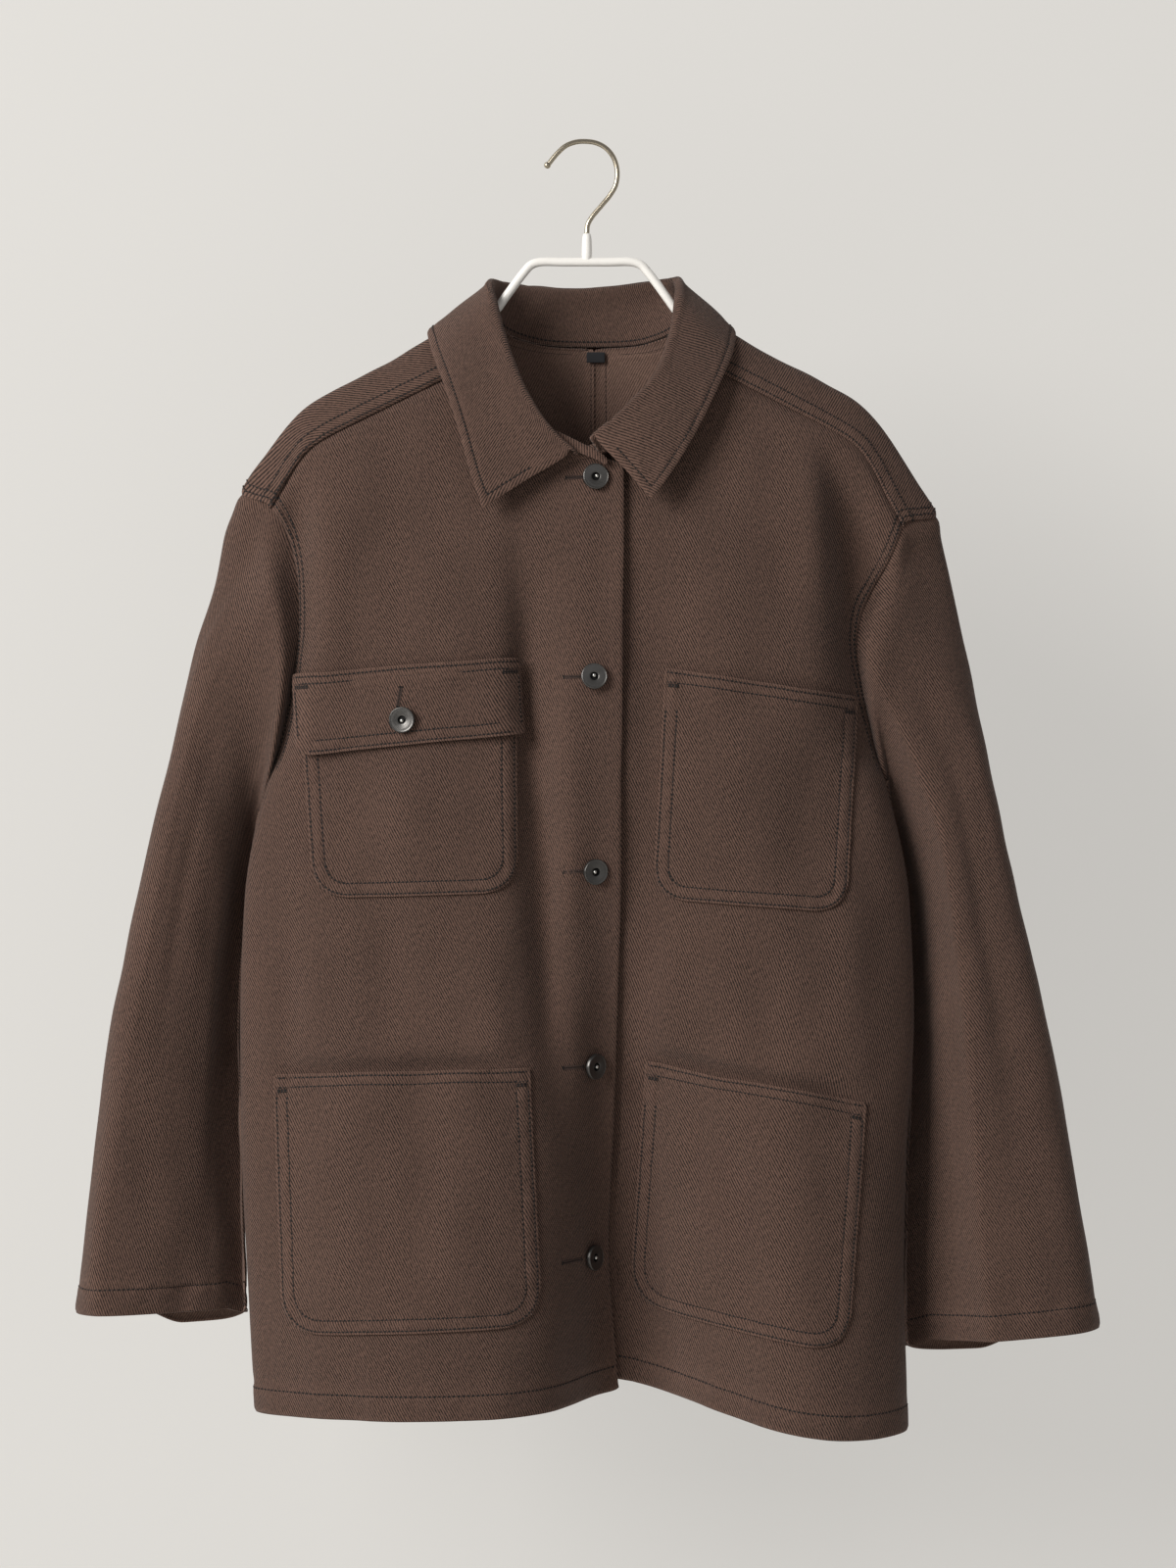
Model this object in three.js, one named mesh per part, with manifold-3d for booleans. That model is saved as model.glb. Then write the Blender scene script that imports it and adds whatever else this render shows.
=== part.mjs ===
// A chore jacket of heavy cotton twill, buttoned up and hanging on a coated wire hanger.
// Lengths are millimetres. Facing the jacket, +X is to the right, +Y runs from front to back and +Z is up.
// The origin is the point under the top of the hanger's hook where it hangs.
// Left and right are the wearer's, so the right front, which buttons over the left one, lies on the -X side.
// Every cloth piece is a wall of even thickness, built around a surface worked out from the tables below.

import * as THREE from "three";
import Module from "manifold-3d";
import { mergeVertices } from "three/addons/utils/BufferGeometryUtils.js";

const wasm = await Module();
wasm.setup();

// Cloth and seams
const clothWall = 1.6;
const collarWall = 2.2;
const pocketWall = 1.4;
const flapWall = 2.2;
const hemExtra = 0.8; // the turned-up hem stands this much prouder
const seamGap = 0.4;
const layGap = 0.35; // between a panel and what is sewn on it
const overlapWidth = 40; // the right front laps this far over the left one
const overlapGap = 1.3;
const sharpestSeam = 0.5;

// The hang of the body: the ridge of the shoulders and how fast the cloth opens out below it
const neckReach = 71;
const neckRidgeZ = -113.5;
const shoulderSlope = 0.54;
const ridgeRound = 6;
const ridgeCurl = 3.0;
const hangSlack = 1100;
const bodySquareness = 2.6; // 2 is an ellipse, and more is a flatter front with rounder sides
const backSwell = { x: 6, z: -135, reach: 62, lift: 9 };

const sides = {
  right: { bendX: 196, dropSlope: 1.47, hemSag: 7.5, sagPlace: 0.5 },
  left: { bendX: 193, dropSlope: 1.62, hemSag: 9, sagPlace: 2 },
};

// Body levels from the hem up to the armpit: front edge, side seam, centre back and rows to the next level
const centreBackX = 6;
const bodyLevels = {
  right: [
    { frontX: 22, frontZ: -839, sideX: -222, sideZ: -852, backZ: -838, rows: 1 },
    { frontX: 20, frontZ: -821, sideX: -223, sideZ: -834, backZ: -820, rows: 1 },
    { frontX: 19.9, frontZ: -819.6, sideX: -223.1, sideZ: -832.5, backZ: -818.5, rows: 2 },
    { frontX: 14, frontZ: -745, sideX: -227, sideZ: -761, backZ: -760, rows: 2 },
    { frontX: 18, frontZ: -660, sideX: -231, sideZ: -675, backZ: -675, rows: 2 },
    { frontX: 21, frontZ: -575, sideX: -232, sideZ: -590, backZ: -590, rows: 2 },
    { frontX: 23, frontZ: -495, sideX: -229, sideZ: -508, backZ: -505, rows: 2 },
    { frontX: 23, frontZ: -431, sideX: -213, sideZ: -428, backZ: -431, rows: 0 },
  ],
  left: [
    { frontX: -18, frontZ: -829, sideX: 216, sideZ: -864, backZ: -838, rows: 1 },
    { frontX: -20, frontZ: -811, sideX: 215, sideZ: -846, backZ: -820, rows: 1 },
    { frontX: -20.1, frontZ: -809.6, sideX: 215, sideZ: -844.6, backZ: -818.5, rows: 2 },
    { frontX: -26, frontZ: -745, sideX: 213, sideZ: -764, backZ: -760, rows: 2 },
    { frontX: -22, frontZ: -660, sideX: 215, sideZ: -676, backZ: -675, rows: 2 },
    { frontX: -19, frontZ: -575, sideX: 220, sideZ: -588, backZ: -590, rows: 2 },
    { frontX: -17, frontZ: -495, sideX: 217, sideZ: -510, backZ: -505, rows: 2 },
    { frontX: -17, frontZ: -431, sideX: 201, sideZ: -431, backZ: -431, rows: 0 },
  ],
};

// Front rows above the armpit: front edge, armhole, and how closely the row follows the shoulder
const frontRows = {
  right: [
    { inX: 24, inZ: -380, armX: -208, armY: -9, armZ: -415, follow: 0.02 },
    { inX: 24, inZ: -325, armX: -201, armY: -16, armZ: -386, follow: 0.08 },
    { inX: 25, inZ: -268, armX: -195, armY: -20, armZ: -356, follow: 0.2 },
    { inX: 25, inZ: -221, armX: -192, armY: -22, armZ: -326, follow: 0.38 },
    { inX: 1, inZ: -212, armX: -193, armY: -21, armZ: -298, follow: 0.58 },
    { inX: -19, inZ: -201, armX: -197, armY: -19, armZ: -274, follow: 0.78 },
    { inX: -42, inZ: -179, armX: -204, armY: -16.5, armZ: -256, follow: 0.93 },
    { inX: -59, inZ: -140, armX: -212, armY: -14, armZ: -244, follow: 1 },
  ],
  left: [
    { inX: -16, inZ: -380, armX: 197, armY: -9, armZ: -418, follow: 0.02 },
    { inX: -16, inZ: -325, armX: 191, armY: -16, armZ: -391, follow: 0.08 },
    { inX: -15, inZ: -268, armX: 185, armY: -20, armZ: -364, follow: 0.2 },
    { inX: -15, inZ: -221, armX: 182, armY: -22, armZ: -339, follow: 0.38 },
    { inX: 8, inZ: -212, armX: 185, armY: -21, armZ: -318, follow: 0.58 },
    { inX: 26, inZ: -201, armX: 193, armY: -19, armZ: -300, follow: 0.78 },
    { inX: 46, inZ: -179, armX: 204, armY: -16.5, armZ: -280, follow: 0.93 },
    { inX: 62, inZ: -139, armX: 213, armY: -14, armZ: -256, follow: 1 },
  ],
};

// Back rows from the armpit to the back of the shoulder
const backRows = {
  right: [
    { inX: 6, inZ: -372, armX: -217, armY: 12, armZ: -409, follow: 0.02 },
    { inX: 6, inZ: -312, armX: -220, armY: 20, armZ: -386, follow: 0.1 },
    { inX: 6, inZ: -253, armX: -222, armY: 25, armZ: -360, follow: 0.25 },
    { inX: 6, inZ: -193, armX: -224, armY: 26, armZ: -334, follow: 0.45 },
    { inX: 6, inZ: -136, armX: -226, armY: 24, armZ: -310, follow: 0.65 },
    { inX: -25, inZ: -134, armX: -228, armY: 20, armZ: -288, follow: 0.85 },
    { inX: -49, inZ: -129, armX: -230, armY: 14, armZ: -267, follow: 1 },
  ],
  left: [
    { inX: 6, inZ: -372, armX: 206, armY: 12, armZ: -413, follow: 0.02 },
    { inX: 6, inZ: -312, armX: 211, armY: 20, armZ: -391, follow: 0.1 },
    { inX: 6, inZ: -253, armX: 216, armY: 25, armZ: -366, follow: 0.25 },
    { inX: 6, inZ: -193, armX: 221, armY: 26, armZ: -343, follow: 0.45 },
    { inX: 6, inZ: -136, armX: 226, armY: 24, armZ: -321, follow: 0.65 },
    { inX: 34, inZ: -134, armX: 230, armY: 20, armZ: -301, follow: 0.85 },
    { inX: 54, inZ: -129, armX: 233, armY: 14, armZ: -282, follow: 1 },
  ],
};

// Rows where the back goes over the shoulder, to the seam on the front: distance down from the ridge
const overShoulder = {
  right: [
    { drop: 7.5, face: 1, neckX: -62, armX: -231.5 },
    { drop: 2, face: 1, neckX: -68, armX: -232 },
    { drop: 0, face: 1, neckX: -71, armX: -232 },
    { drop: 2, face: -1, neckX: -70, armX: -231 },
    { drop: 7.5, face: -1, neckX: -67, armX: -226 },
  ],
  left: [
    { drop: 7.5, face: 1, neckX: 64, armX: 235.5 },
    { drop: 2, face: 1, neckX: 69, armX: 236 },
    { drop: 0, face: 1, neckX: 71, armX: 236 },
    { drop: 2, face: -1, neckX: 70, armX: 235 },
    { drop: 7.5, face: -1, neckX: 68, armX: 229 },
  ],
};

// Sleeve rows from the armhole to the cuff: outer fold, inner fold, distance back and half the depth
const sleeveRows = {
  right: [
    { outX: -241, outZ: -258, inX: -221.5, inZ: -439, back: 8, deep: 26 },
    { outX: -248.5, outZ: -293, inX: -226, inZ: -457, back: 14, deep: 29 },
    { outX: -264, outZ: -341, inX: -227, inZ: -480, back: 16, deep: 32 },
    { outX: -278, outZ: -400, inX: -231, inZ: -511, back: 18, deep: 34 },
    { outX: -293, outZ: -466, inX: -234, inZ: -551, back: 19, deep: 35 },
    { outX: -306.5, outZ: -530, inX: -235, inZ: -600, back: 19, deep: 35 },
    { outX: -319, outZ: -592, inX: -234, inZ: -650, back: 18, deep: 35 },
    { outX: -327, outZ: -652, inX: -233, inZ: -698, back: 16, deep: 34 },
    { outX: -335, outZ: -714, inX: -232, inZ: -738, back: 13, deep: 34 },
    { outX: -340.5, outZ: -768, inX: -230.5, inZ: -766, back: 10, deep: 34 },
    { outX: -340.7, outZ: -769.4, inX: -230.4, inZ: -767.4, back: 10, deep: 34 },
    { outX: -343, outZ: -787, inX: -229.5, inZ: -785, back: 9, deep: 34 },
  ],
  left: [
    { outX: 241, outZ: -272, inX: 209, inZ: -442, back: 8, deep: 26 },
    { outX: 250, outZ: -312, inX: 212, inZ: -461, back: 14, deep: 29 },
    { outX: 260, outZ: -360, inX: 214, inZ: -486, back: 16, deep: 32 },
    { outX: 271, outZ: -413, inX: 219, inZ: -516, back: 18, deep: 34 },
    { outX: 283, outZ: -471, inX: 222, inZ: -553, back: 19, deep: 35 },
    { outX: 296, outZ: -528, inX: 223, inZ: -597, back: 19, deep: 35 },
    { outX: 309, outZ: -586, inX: 221, inZ: -644, back: 18, deep: 35 },
    { outX: 321, outZ: -646, inX: 219, inZ: -694, back: 16, deep: 34 },
    { outX: 332, outZ: -710, inX: 217, inZ: -746, back: 13, deep: 34 },
    { outX: 343, outZ: -777, inX: 215, inZ: -789, back: 10, deep: 34 },
    { outX: 343.2, outZ: -778.4, inX: 215, inZ: -790.4, back: 10, deep: 34 },
    { outX: 346, outZ: -797, inX: 216, inZ: -808, back: 9, deep: 34 },
  ],
};
const sleeveSquareness = 2.2;
const armholeFade = 4; // the sleeve loses the armhole's own curve over this many rows
const cuffBackDrop = 13; // the back of the cuff hangs this much lower than its front

// Folds of the fronts, each on a line from top to foot. A growing fold is deepest at its foot
const frontFolds = [
  { topX: 26, topZ: -470, footX: 20, footZ: -870, lift: -50, wideLeft: 44, wideRight: 95, grows: true },
  { topX: -115, topZ: -470, footX: -122, footZ: -880, lift: 18, wideLeft: 75, wideRight: 75, grows: true },
  { topX: 140, topZ: -470, footX: 152, footZ: -890, lift: 22, wideLeft: 60, wideRight: 60, grows: true },
  { topX: -28, topZ: -240, footX: -38, footZ: -640, lift: -5.5, wideLeft: 16, wideRight: 16, grows: false },
  { topX: -10, topZ: -290, footX: -14, footZ: -560, lift: 3, wideLeft: 14, wideRight: 14, grows: false },
  { topX: 42, topZ: -260, footX: 36, footZ: -560, lift: -4, wideLeft: 17, wideRight: 22, grows: false },
  { topX: -160, topZ: -185, footX: -176, footZ: -390, lift: 6, wideLeft: 17, wideRight: 26, grows: false },
  { topX: 142, topZ: -190, footX: 166, footZ: -400, lift: 7, wideLeft: 26, wideRight: 15, grows: false },
  { topX: 160, topZ: -195, footX: 184, footZ: -350, lift: -7, wideLeft: 11, wideRight: 14, grows: false },
  { topX: 92, topZ: -200, footX: 108, footZ: -560, lift: 4, wideLeft: 34, wideRight: 34, grows: false },
  { topX: -95, topZ: -220, footX: -110, footZ: -560, lift: 4, wideLeft: 38, wideRight: 38, grows: false },
];

// Folds of the back, where a lift is towards the back
const backFolds = [
  { topX: -150, topZ: -190, footX: -128, footZ: -880, lift: 12, wideLeft: 44, wideRight: 44, grows: true },
  { topX: 152, topZ: -200, footX: 134, footZ: -890, lift: 13, wideLeft: 42, wideRight: 42, grows: true },
  { topX: -72, topZ: -330, footX: -64, footZ: -880, lift: -9, wideLeft: 26, wideRight: 26, grows: true },
  { topX: 80, topZ: -320, footX: 70, footZ: -880, lift: -9, wideLeft: 26, wideRight: 26, grows: true },
  { topX: 6, topZ: -250, footX: 4, footZ: -880, lift: 8, wideLeft: 34, wideRight: 34, grows: true },
  { topX: -170, topZ: -230, footX: -190, footZ: -430, lift: 5, wideLeft: 15, wideRight: 15, grows: false },
  { topX: 172, topZ: -235, footX: 188, footZ: -440, lift: 5, wideLeft: 15, wideRight: 15, grows: false },
];

// Folds along a sleeve, at an angle round it: -90 the inner fold, 0 the front, 90 the outer fold
const sleeveFolds = {
  right: [
    { angle: 34, fromRow: 0, toRow: 9, lift: -4, wide: 16 },
    { angle: -8, fromRow: 1, toRow: 12, lift: 3, wide: 20 },
    { angle: -44, fromRow: 1, toRow: 10, lift: -4, wide: 15 },
    { angle: 200, fromRow: 1, toRow: 13, lift: -5, wide: 20 },
    { angle: 150, fromRow: 0, toRow: 10, lift: 4, wide: 20 },
  ],
  left: [
    { angle: 20, fromRow: 0, toRow: 10, lift: -4, wide: 16 },
    { angle: 52, fromRow: 2, toRow: 13, lift: 3, wide: 18 },
    { angle: -32, fromRow: 1, toRow: 9, lift: 4, wide: 16 },
    { angle: 205, fromRow: 1, toRow: 13, lift: -5, wide: 20 },
    { angle: 155, fromRow: 0, toRow: 10, lift: 4, wide: 20 },
  ],
};

// Collar sections from the right front end round to the left one: neck seam, roll line and outer edge
const collarSections = [
  { neck: [-5, -35.5, -207], roll: [-8, -40, -205], edge: [-69, -46, -250] },
  { neck: [-17, -33, -199], roll: [-22, -41, -193], edge: [-75, -44.5, -229] },
  { neck: [-35, -29, -182], roll: [-41, -37, -167], edge: [-84, -40, -197] },
  { neck: [-50.5, -21.5, -157], roll: [-55, -27, -133], edge: [-94, -33.5, -166] },
  { neck: [-59, -11.5, -131], roll: [-62, -14, -106], edge: [-103, -18, -141] },
  { neck: [-65, 2, -105], roll: [-63, 4, -93], edge: [-106, 3, -125.5] },
  { neck: [-58, 16, -122], roll: [-55, 22, -92], edge: [-92, 33, -134] },
  { neck: [-34, 28, -131], roll: [-33, 33, -94], edge: [-52, 46, -140] },
  { neck: [3, 31.5, -133], roll: [2, 38, -94], edge: [3, 50, -142] },
  { neck: [40, 28, -131], roll: [38, 33, -91.5], edge: [57, 46, -140] },
  { neck: [61, 16, -122], roll: [56, 22, -90], edge: [90, 33, -134] },
  { neck: [65, 2, -105], roll: [61, 4, -92], edge: [100, 3, -125.5] },
  { neck: [60.5, -11.5, -131], roll: [61, -14, -106], edge: [98, -18, -142] },
  { neck: [54.5, -21.5, -155], roll: [56, -27, -133], edge: [88, -35, -166] },
  { neck: [43, -29, -179], roll: [46, -38, -158], edge: [74, -42.5, -195] },
  { neck: [25, -33, -198], roll: [26, -43, -180], edge: [58, -47.5, -222] },
  { neck: [9, -36, -207], roll: [5, -44, -196], edge: [42, -49.5, -244] },
];
const collarRollRadius = 3.2;
const collarSteps = 3; // rings between two sections

// Patch pockets as they lie on the fronts, corner by corner in X and Z, with the radius of the bottom corners
const pockets = [
  {
    name: "chest_pocket_right", panel: "front_right", round: 26,
    topOut: [-191, -362], topIn: [-48, -351], botIn: [-46, -503], botOut: [-181, -507],
  },
  {
    name: "chest_pocket_left", panel: "front_left", round: 24,
    topOut: [181, -373], topIn: [53, -354], botIn: [45, -507], botOut: [173, -517],
  },
  {
    name: "hip_pocket_right", panel: "front_right", round: 29,
    topOut: [-208, -625], topIn: [-38, -619], botIn: [-30, -789], botOut: [-201, -797],
  },
  {
    name: "hip_pocket_left", panel: "front_left", round: 29,
    topOut: [186, -643], topIn: [41, -616], botIn: [30, -782], botOut: [173, -808],
  },
];
const flap = {
  name: "pocket_flap_right", panel: "front_right", round: 3,
  topOut: [-194, -358], topIn: [-47, -347], botIn: [-45, -398], botOut: [-189, -412],
};

// Buttons: tack buttons with a hollow centre
const buttonRadius = 8.7;
const buttonThickness = 2.6;
const buttonStem = 3.4;
const buttonLift = 1.5;
const buttonFoot = 0.55; // clear of the cloth under it
const frontButtons = [
  { x: 6, z: -227 },
  { x: 5, z: -360 },
  { x: 5, z: -489 },
  { x: 4, z: -620 },
  { x: 3, z: -750 },
];
const flapButton = { x: -120, z: -388.5 };

// The small plain loop label inside the back neck
const tab = { width: 12.5, height: 7.2, thick: 1, x: 6.6, topZ: -137.2 };

// Hanger: a coated arch of wire with a neck, and a bare hook
const wireRadius = 1.7;
const archRadius = 3;
const armDrop = 6.2; // the arm's axis lies this far under the lower of the two shoulder ridges
const hookPath = [
  { x: -26, z: -14.5 }, { x: -19.5, z: -6.5 }, { x: -13.5, z: -1.2 }, { x: -6.8, z: 1.3 },
  { x: 0, z: wireRadius },
  { x: 7, z: 0.6 }, { x: 13.6, z: -3 }, { x: 18.6, z: -9.4 }, { x: 21, z: -18.3 }, { x: 20, z: -27.6 },
  { x: 16.2, z: -34.5 }, { x: 10.4, z: -41.5 }, { x: 3.8, z: -49.5 }, { x: 1.2, z: -54.4 },
  { x: 0.6, z: -60 },
];
const hookBallRadius = 2.3;
const archTopZ = -79.5;
const archCorners = [
  { x: 31, z: -79.5 }, { x: 37, z: -81.5 }, { x: 42, z: -86.8 },
  { x: 54, z: -102.8 }, { x: 61, z: -112.3 }, { x: 69, z: -119 },
];
const archEndX = 181;
const hangerNeck = [
  { z: -79.5, r: 2.6 }, { z: -75, r: 3.5 }, { z: -66, r: 3.3 }, { z: -61, r: 2.6 }, { z: -60.4, r: 2 },
];

const lerp = (a, b, t) => a + (b - a) * t;
const clamp01 = (t) => Math.min(1, Math.max(0, t));
const smooth = (t) => clamp01(t) ** 2 * (3 - 2 * clamp01(t));

// The height of the shoulder ridge over x, and the cosine of its slope
function ridge(side, x) {
  const past = (Math.abs(x) - side.bendX) / ridgeRound;
  const fall = side.dropSlope - shoulderSlope;
  const bend = fall * ridgeRound * Math.log1p(Math.exp(past));
  const z = neckRidgeZ - shoulderSlope * (Math.abs(x) - neckReach) - bend;
  const slope = shoulderSlope + fall / (1 + Math.exp(-past));
  return { z, cos: 1 / Math.hypot(1, slope) };
}

// How far the cloth stands off the hanger's plane, at a distance straight down from the ridge
const standOff = (drop) => (ridgeCurl * Math.sqrt(Math.max(0, drop))) / (1 + Math.max(0, drop) / hangSlack);

function foldLift(folds, x, z) {
  let sum = 0;
  for (const f of folds) {
    const t = (f.topZ - z) / (f.topZ - f.footZ);
    if (t <= 0) continue;
    const off = x - lerp(f.topX, f.footX, t);
    const wide = off < 0 ? f.wideLeft : f.wideRight;
    const along = f.grows ? smooth(t) : smooth(t * 3) * smooth((1 - t) * 3);
    sum += f.lift * along * Math.exp(-((off / wide) ** 2));
  }
  return sum;
}

// The share of the width at each column, closer together towards the side
const overlapColumns = 4;
const sideColumns = 9;
function columns(width) {
  const shares = [];
  for (let k = 0; k < overlapColumns; k++) shares.push((k * overlapWidth) / overlapColumns / width);
  const start = Math.asin(overlapWidth / width);
  for (let k = 0; k <= sideColumns; k++) shares.push(Math.sin(lerp(start, Math.PI / 2, k / sideColumns)));
  return shares;
}

// One row of a body panel, from its inner end to the side seam or the armhole
function bodyRow(side, face, inner, outer, follow, sag, folds) {
  const ridgeIn = ridge(side, inner.x);
  const ridgeOut = ridge(side, outer.x);
  const dropIn = (ridgeIn.z - inner.z) * ridgeIn.cos;
  const dropOut = (ridgeOut.z - outer.z) * ridgeOut.cos;
  return columns(Math.abs(outer.x - inner.x)).map((share) => {
    const x = lerp(inner.x, outer.x, share);
    const here = ridge(side, x);
    const straight = lerp(inner.z, outer.z, share);
    const followed = here.z - lerp(dropIn, dropOut, share) / here.cos;
    const z = lerp(straight, followed, follow) - sag * Math.sin(Math.PI * share ** side.sagPlace);
    const away = Math.hypot(x - backSwell.x, z - backSwell.z) / backSwell.reach;
    const swell = face > 0 ? backSwell.lift * Math.exp(-(away ** 2)) : 0;
    const lie = (1 - share ** bodySquareness) ** (1 / bodySquareness);
    const taper = smooth((here.z - z) / 40);
    const middle = standOff((here.z - z) * here.cos) + (swell + foldLift(folds, x, z)) * taper;
    const rim = Math.abs(outer.y);
    return new THREE.Vector3(x, face * lerp(rim, middle, share < 1 ? lie : 0), z);
  });
}

// The levels of one side, with the rows between them filled in
function levelRows(levels) {
  const keys = ["frontX", "frontZ", "sideX", "sideZ", "backZ"];
  const rows = [];
  levels.forEach((level, i) => {
    const next = levels[Math.min(i + 1, levels.length - 1)];
    const count = Math.max(1, level.rows);
    for (let k = 0; k < count; k++) {
      rows.push(Object.fromEntries(keys.map((key) => [key, lerp(level[key], next[key], k / count)])));
    }
  });
  return rows;
}

function frontGrid(name) {
  const side = sides[name];
  const rows = levelRows(bodyLevels[name]).map((r) => {
    const inner = { x: r.frontX, z: r.frontZ };
    const sag = side.hemSag * smooth((-640 - r.sideZ) / 200);
    return bodyRow(side, -1, inner, { x: r.sideX, y: 0, z: r.sideZ }, 0, sag, frontFolds);
  });
  for (const r of frontRows[name]) {
    const armhole = { x: r.armX, y: r.armY, z: r.armZ };
    rows.push(bodyRow(side, -1, { x: r.inX, z: r.inZ }, armhole, r.follow, 0, frontFolds));
  }
  return rows;
}

function backGrid(name) {
  const side = sides[name];
  const rows = levelRows(bodyLevels[name]).map((r) =>
    bodyRow(side, 1, { x: centreBackX, z: r.backZ }, { x: r.sideX, y: 0, z: r.sideZ }, 0, 0, backFolds));
  for (const r of backRows[name]) {
    const armhole = { x: r.armX, y: r.armY, z: r.armZ };
    rows.push(bodyRow(side, 1, { x: r.inX, z: r.inZ }, armhole, r.follow, 0, backFolds));
  }
  for (const r of overShoulder[name]) {
    const neck = ridge(side, r.neckX);
    const arm = ridge(side, r.armX);
    const inner = { x: r.neckX, z: neck.z - r.drop / neck.cos };
    const outer = { x: r.armX, y: standOff(r.drop), z: arm.z - r.drop / arm.cos };
    rows.push(bodyRow(side, r.face, inner, outer, 1, 0, []));
  }
  return rows;
}

// The left front lies under the right one, and takes its full place again towards its side
function tuckUnder(grid) {
  const tuck = clothWall + hemExtra + overlapGap;
  gridNormals(grid, false, true).forEach((normals, i) =>
    normals.forEach((n, j) => {
      const share = Math.abs(grid[i][j].x - grid[i][0].x) / Math.abs(grid[i].at(-1).x - grid[i][0].x);
      const by = tuck * (1 - smooth((share - 0.2) / 0.5)) * smooth((-150 - grid[i][j].z) / 40);
      grid[i][j].y -= by * n.y;
      grid[i][j].x -= by * n.x;
    }));
}

// A sleeve: rings from the armhole to the cuff. The first ring's points are the armhole points of the body
function sleeveGrid(name, armhole, frontCount) {
  const total = armhole.length;
  const armpit = armhole[0];
  const tipIndex = armhole.reduce((best, p, i) => (p.z > armhole[best].z ? i : best), 0);
  const tip = armhole[tipIndex];
  const angles = armhole.map((_, i) => {
    if (i <= frontCount) return lerp(-90, 66, i / frontCount);
    if (i <= tipIndex) return lerp(66, 90, (i - frontCount) / (tipIndex - frontCount));
    return lerp(90, 270, (i - tipIndex) / (total - tipIndex));
  });
  const ring = (row, angle) => {
    const a = THREE.MathUtils.degToRad(angle);
    const across = Math.sign(Math.sin(a)) * Math.abs(Math.sin(a)) ** (2 / sleeveSquareness);
    const deep = -Math.sign(Math.cos(a)) * Math.abs(Math.cos(a)) ** (2 / sleeveSquareness);
    const share = (across + 1) / 2;
    const y = row.back + deep * row.deep;
    return new THREE.Vector3(lerp(row.inX, row.outX, share), y, lerp(row.inZ, row.outZ, share));
  };
  const top = { inX: armpit.x, inZ: armpit.z, outX: tip.x, outZ: tip.z, back: 0, deep: 26 };
  const own = armhole.map((p, i) => p.clone().sub(ring(top, angles[i])));
  const rows = [armhole.map((p) => p.clone())];
  sleeveRows[name].forEach((row, k) => {
    const keep = 1 - smooth((k + 1) / armholeFade);
    const down = smooth((k + 1) / sleeveRows[name].length);
    const centre = ring(row, 0).setY(row.back);
    rows.push(angles.map((angle, i) => {
      const p = ring(row, angle).addScaledVector(own[i], keep);
      const out = p.clone().sub(centre).normalize();
      for (const f of sleeveFolds[name]) {
        const off = (angle - f.angle + 540) % 360 - 180;
        const along = smooth((k + 1 - f.fromRow) / 3) * smooth((f.toRow - k - 1) / 3);
        p.addScaledVector(out, f.lift * along * Math.exp(-((off / f.wide) ** 2)));
      }
      p.z -= cuffBackDrop * down * down * Math.max(0, (p.y - row.back) / row.deep);
      return p;
    }));
  });
  return rows;
}

// Normals of a grid of points, pointing out of the garment
function gridNormals(grid, closed, flip) {
  const last = grid[0].length - 1;
  return grid.map((row, i) =>
    row.map((p, j) => {
      const up = grid[Math.min(i + 1, grid.length - 1)][j].clone().sub(grid[Math.max(i - 1, 0)][j]);
      const next = closed ? (j + 1) % (last + 1) : Math.min(j + 1, last);
      const before = closed ? (j + last) % (last + 1) : Math.max(j - 1, 0);
      const across = row[next].clone().sub(row[before]);
      const n = up.cross(across).normalize();
      return flip ? n.negate() : n;
    }));
}

// Gives points that pieces share one normal, so that their edges meet square on, unless they fork sharply
function shareNormals(pieces) {
  const bins = new Map();
  for (const piece of pieces)
    piece.grid.forEach((row, i) =>
      row.forEach((p, j) => {
        const key = [p.x, p.y, p.z].map((c) => Math.round(c * 10)).join();
        if (!bins.has(key)) bins.set(key, []);
        bins.get(key).push(piece.normals[i][j]);
      }));
  for (const normals of bins.values()) {
    if (normals.length < 2) continue;
    const sum = normals.reduce((s, n) => s.add(n), new THREE.Vector3());
    if (sum.length() > sharpestSeam * normals.length) normals.forEach((n) => n.copy(sum).normalize());
  }
}

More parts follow.
